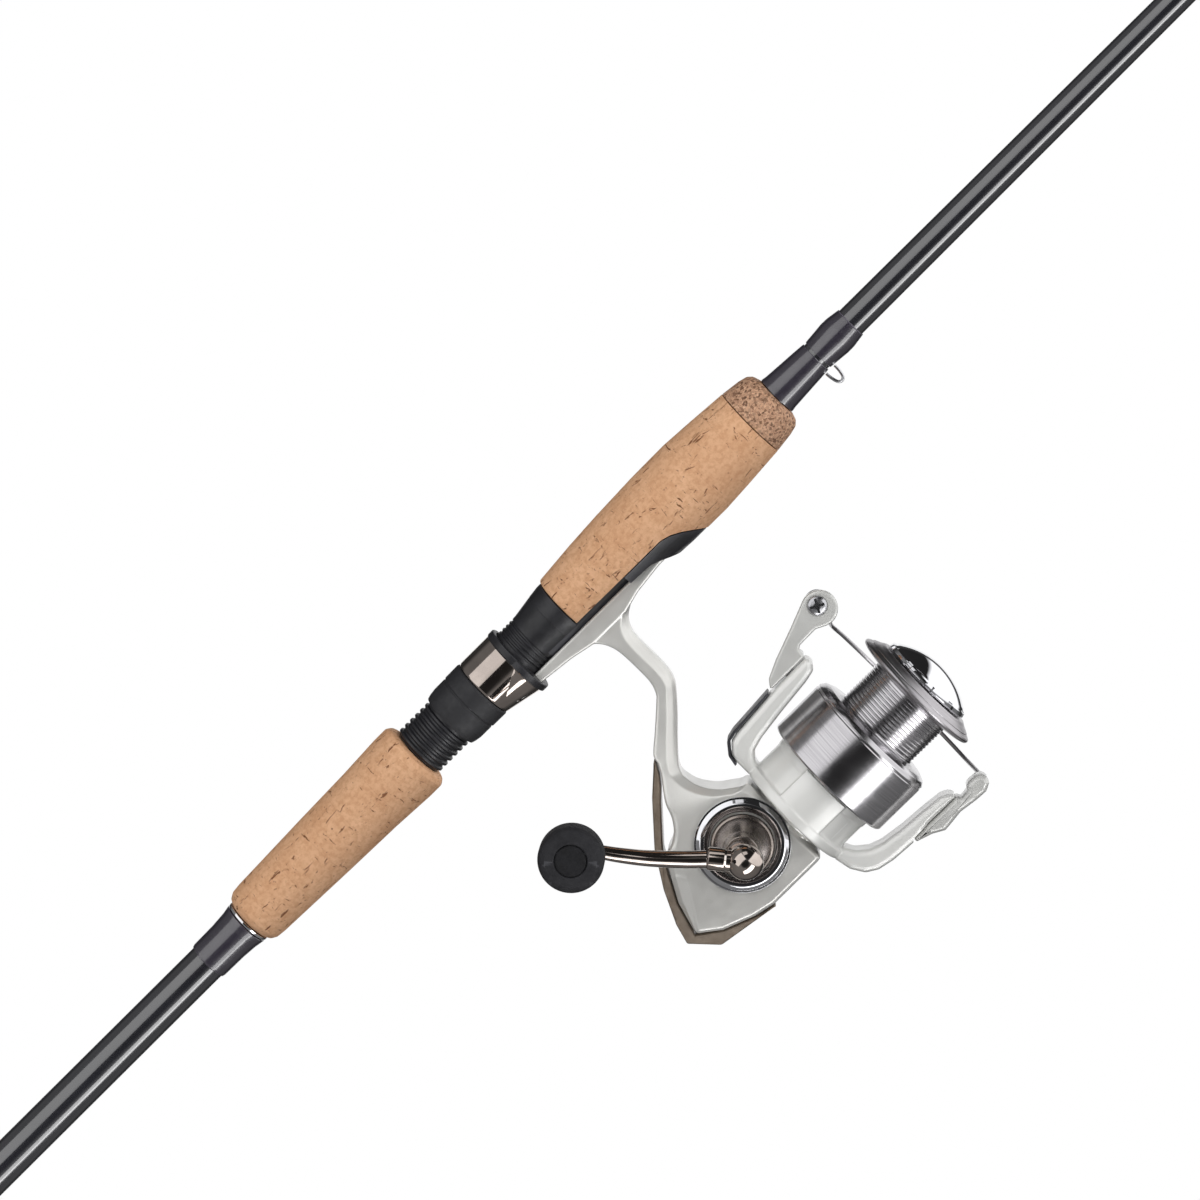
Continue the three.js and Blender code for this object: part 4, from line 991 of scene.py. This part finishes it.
def build_bail():
    outline = [(12, -62.55), (27, -62.55), (27.3, -60), (28.4, -59), (35.4, -58.9)]
    outline += round_end(ROLLER.x - 0.2, ROLLER.z - 1.2, 5.7, 242, 470, 24)
    outline += [(30, -53.3), (20, -57), (14.4, -59.6)]
    arm = plate("arm", outline, -4.7, -1.6, 0.8, 0.7, radius=0.8)
    base = plate("base", [(12, -62.55), (27, -62.55), (27.2, -60.6), (20, -59.4), (15, -60.4)],
                 -4.7, 5, 0.8, 0.8, radius=0.8)
    arm = cast("bail_arm_fine", [arm, base], 0.25, 4)
    hole = rod("Y", -10, 0, ROLLER_HOLE, ROLLER_AXIS, 32)
    pivot = rod("Z", -64, -60.4, PIVOT_HOLE, (PIVOT_X, 0), 32)
    sink = rod("Y", -6, -4.45, 3.25, ROLLER_AXIS)
    combined(arm, hole, pivot, sink, sharp=60)
    # The second slot, a darker copy of the white paint, is painted shade.
    place(arm, "bail", "white_paint", "shaded_white_paint")
    lever = plate("bail_lever_fine", [
        (10.7, -127.5), (11.1, -126.1), (29.4, -126.1), (30, -127.6), (33, -127.2),
        (33.8, -125.9), (35.2, -125.5), (38, -125.7), (39.7, -126.6), (40.2, -128.4), (39.5, -130.2),
        (37, -131.4), (33, -131.2), (27, -130.4), (22, -131), (19.6, -131.2), (16, -129.2)],
        -4.8, 4.8, 1.3, 1.5, radius=1)
    pivot = rod("Z", -129, -120, PIVOT_HOLE, (PIVOT_X, 0), 32)
    combined(lever, pivot, sharp=60)
    # The second slot, a darker copy of the white paint, is painted shade.
    place(lever, "bail", "white_paint", "shaded_white_paint")
    build_wire()
    screw = turned("roller_screw_fine", "Y", [
        (-6, 0), (-5.92, 1.1, 1), (-5.66, 2.2, 1), (-5.3, 2.85, 0.5), (-4.95, 3.1, 0.2), (-4.9, 1.35),
        (6.8, 1.35), (6.8, 0)], ROLLER_AXIS, 64)
    tools = []
    for k in range(2):
        slot = block((-2.3, -6.5, -0.42), (2.3, -5.35, 0.42))
        set_down(slot, ROLLER, radians(28 + 90 * k))
        tools.append(slot)
    combined(screw, *tools, sharp=30)
    place(screw, "bail", "steel")
    place(turned("line_roller_fine", "Y", [
        (-1.3, 1.65), (-1.3, 4, 0.2), (-0.5, 4, 0.4), (0.8, 3.2, 0.8), (2.2, 3.2, 0.8), (3.6, 4, 0.4),
        (4.6, 4, 0.2), (4.6, 1.65)], ROLLER_AXIS, 64), "line_roller", "steel", "polished_chrome")


def build_wire():
    low, high = limits_of("bail_wire")
    bulge_y = high.y - WIRE
    end_x, end_z = 38.2, low.z + WIRE
    top = ROLLER.z - 6
    centre, half = (top + end_z) / 2, (top - end_z) / 2
    path = [(ROLLER.x - 1, 6.5, top), (ROLLER.x - 1.6, 10, top - 1.2)]
    turns = 12
    for i in range(2, turns - 1):
        angle = pi * (0.5 - i / turns)
        bulge = cos(angle) ** 0.8
        path.append((38.4 - 2.6 * bulge, bulge_y * bulge, centre + half * sin(angle)))
    path += [(end_x, 10, end_z + 0.6), (end_x, 5.1, end_z)]
    wire = swept("bail_wire_fine", path, WIRE, 16, 160)
    cheek = plate("cheek", round_end(ROLLER.x - 0.5, ROLLER.z - 0.5, 3.4, 0, 180, 16)
                  + round_end(ROLLER.x - 0.7, ROLLER.z - 5.2, 2.4, 180, 360, 12), 4.9, 8.6, 0.7)
    hole = rod("Y", 4, 7.2, ROLLER_HOLE, ROLLER_AXIS, 32)
    combined(cheek, hole)
    obj = joined("bail_wire_fine", [wire, cheek])
    place(obj, "bail", "steel", "satin_aluminium")


# ---- reel: spool and drag knob ----
def build_spool():
    profile = [(5, 20.6), (5, 21.9, 0.3), (5.6, 22.4, 0.4), (22.6, 22.4, 0.2), (22.9, 22.15, 0.1),
               (23.4, 22.15, 0.1), (23.7, 22.3, 0.1), (25.1, 21.3, 0.4), (25.9, 19.4, 0.4),
               (26.1, 16.2, 0.5), (26.4, 14.6, 0.2)]
    for groove in range(11):
        start = 26.9 + groove * 1.25
        profile += [(start + along, r, 0.12)
                    for along, r in ((0, 14.45), (0.25, 14.2), (0.8, 14.2), (1.05, 14.45))]
    profile += [(41.2, 14.4, 0.2), (41.5, 15.4, 0.3), (42.4, 20.6, 0.6), (42.8, 21.7, 0.4), (43.4, 22.1, 0.3),
                (43.9, 22, 0.2), (44.3, 21.5, 0.3), (44.9, 20.3, 0.2), (45.1, 20.3, 0.1), (46.1, 18.2, 0.4),
                (46.9, 17, 0.4), (46.9, 9.8), (34, 9.8), (34, 2.3), (22.5, 2.3), (22.5, 20.6)]
    spool = turned("spool_fine", "X", profile, SPOOL_AXIS, 160, steps=2)
    place(spool, "spool", "anodised_aluminium", "anodised_aluminium", "satin_aluminium")
    paint_where(spool, 1, lambda p: p.x > 41.3)
    place(turned("drag_knob_fine", "X", [
        (50.2, 0), (50.2, 2), (38.6, 2), (38.6, 9.2), (47.3, 9.2), (47.3, 15.4, 0.2), (47.9, 15.75, 0.2),
        (49, 15.4, 0.3), (49.4, 14.6, 0.2)] + sphere_arc(29.4, 24.9, 49.9, 54.3, 24), SPOOL_AXIS, 192,
        shape=lambda a, r, angle: r - (0.55 if a > 47.2 and r > 14.9 and cos(10 * angle) > 0.75 else 0)),
          "drag_knob", "polished_chrome")


# ---- pieces that keep their CAD mesh ----
CARRIED = {
    "crank_bearing": "steel", "far_bearing": "steel", "pinion_bearing": "steel", "one_way_clutch": "steel",
    "drive_gear": "brass", "oscillation_gear": "steel", "pinion_gear": "brass", "rotor_nut": "steel",
    "bail_pivot_upper": "steel", "bail_pivot_lower": "steel", "main_shaft": "steel",
    "oscillation_slider": "brass", "drag_washer_metal": "steel", "drag_washer_felt": "felt"}


def dress_carried():
    for node, look in CARRIED.items():
        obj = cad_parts[node]
        dress(obj, look)
        bevel = obj.modifiers.new("edge", "BEVEL")
        bevel.width = 0.08 * MM
        bevel.segments = 2
        bevel.limit_method = "ANGLE"
        bevel.angle_limit = radians(40)


# ---- room, light and camera ----
def area_light(name, angle, distance, size, radiance, middle_x=0, length=2.4, mirrored=True, lit=True):
    """A softbox along the rod. angle is measured from the camera's side upwards, in degrees."""
    turn = radians(angle)
    towards = Vector((0, -cos(turn), sin(turn)))
    light = bpy.data.lights.new(name, "AREA")
    light.shape = "RECTANGLE"
    light.size = length
    light.size_y = size
    light.energy = radiance * pi * length * size
    obj = linked(name, light)
    obj.location = Vector((middle_x, 0, SPOOL_Z * MM)) + towards * distance
    back = towards
    right = Vector((1, 0, 0))
    up = back.cross(right)
    obj.rotation_euler = Matrix((right, up, back)).transposed().to_euler()
    obj.visible_camera = False
    obj.visible_glossy = mirrored
    obj.visible_diffuse = lit


def build_room():
    scene = bpy.context.scene
    scene.view_settings.view_transform = "Standard"
    scene.world = bpy.data.worlds.new("studio")
    scene.world.use_nodes = True
    room = Nodes(scene.world.node_tree)
    camera_ray = room.nodes.new("ShaderNodeLightPath").outputs["Is Camera Ray"]
    background = room.nodes["Background"]
    background.inputs["Strength"].default_value = 1.0
    room.join(room.mix(camera_ray, room_brightness(room), WHITE), background.inputs["Color"])
    area_light("upper_softbox", 46, 1.2, 1.2, 1.05, -0.35, 1.7)
    area_light("lower_softbox", -46, 1.2, 0.6, 2.9, -0.35, 1.7, lit=False)
    area_light("lower_fill", -46, 1.2, 0.6, 1.7, -0.35, 1.7, mirrored=False)
    area_light("lower_strip", -52, 1.1, 0.08, 3.6, -0.35, 1.6, lit=False)
    area_light("back_softbox", 180, 1.2, 1, 1, -0.2, 1.3)
    area_light("tip_softbox", 60, 1.6, 0.8, 0.9, 1.4, 1.2)
    area_light("front_fill", 20, 1.6, 1.2, 1.3, 0, 1.2, mirrored=False)
    area_light("side_fill", 15, 1.1, 1, 2.6, 1.3, 1.2, mirrored=False)
    floor()


def room_brightness(room):
    """Grey sides, dark behind the camera and behind the object, brighter low beyond the tip."""
    towards = room.separate(room.nodes.new("ShaderNodeTexCoord").outputs["Generated"])

    def greys(axis, stops):
        half = room.maths("MULTIPLY_ADD", towards[axis], 0.5, 0.5)
        return room.ramp(half, [(at * 0.5 + 0.5, grey) for at, grey in stops])
    depth = greys("Y", [(-1, 0.02), (-0.93, 0.03), (-0.86, 0.24), (0.3, 0.2), (0.6, 0.045), (1, 0.05)])
    ahead = greys("X", [(-1, 0), (0.42, 0), (0.5, 1), (1, 1)])
    height = greys("Z", [(-1, 1.3), (-0.03, 1.5), (0.03, 0.02), (1, 0.03)])
    return room.mix(ahead, depth, height)


def floor():
    bm = bmesh.new()
    bmesh.ops.create_circle(bm, cap_ends=True, segments=96, radius=2.2)
    obj = new_object("floor", bm)
    obj.location = (0.64, 0, -1.35)
    look = plain("floor_paper", (244, 244, 243), (240, 240, 239), (0.7, 0.85), grain=60, relief=0.2)
    look.feed("Emission Color", WHITE)
    look.set("Emission Strength", 0.62)
    dress(obj, "floor_paper")
    obj.visible_glossy = False
    obj.visible_diffuse = False


def build_camera():
    camera = bpy.data.cameras.new("camera")
    camera.sensor_width = 36
    camera.lens = 147.9
    camera.clip_start, camera.clip_end = 0.05, 50
    obj = linked("camera", camera)
    position = Vector((0.173, -1.5, 0.087))
    target = Vector((-0.0055, 0, -0.0062))
    back = (position - target).normalized()
    up = Vector((0.709, 0, 0.705))
    right = up.cross(back).normalized()
    up = back.cross(right)
    rotation = Matrix((right, up, back)).transposed().to_4x4()
    obj.matrix_world = Matrix.Translation(position) @ rotation
    bpy.context.scene.camera = obj


build_grips()
build_seat()
build_hood_and_nut()
build_blank_and_wraps()
build_guides()
build_reel_body()
build_reel_trim()
build_crank()
build_knob()
build_rotor()
build_bail()
build_spool()
dress_carried()
build_camera()
build_room()
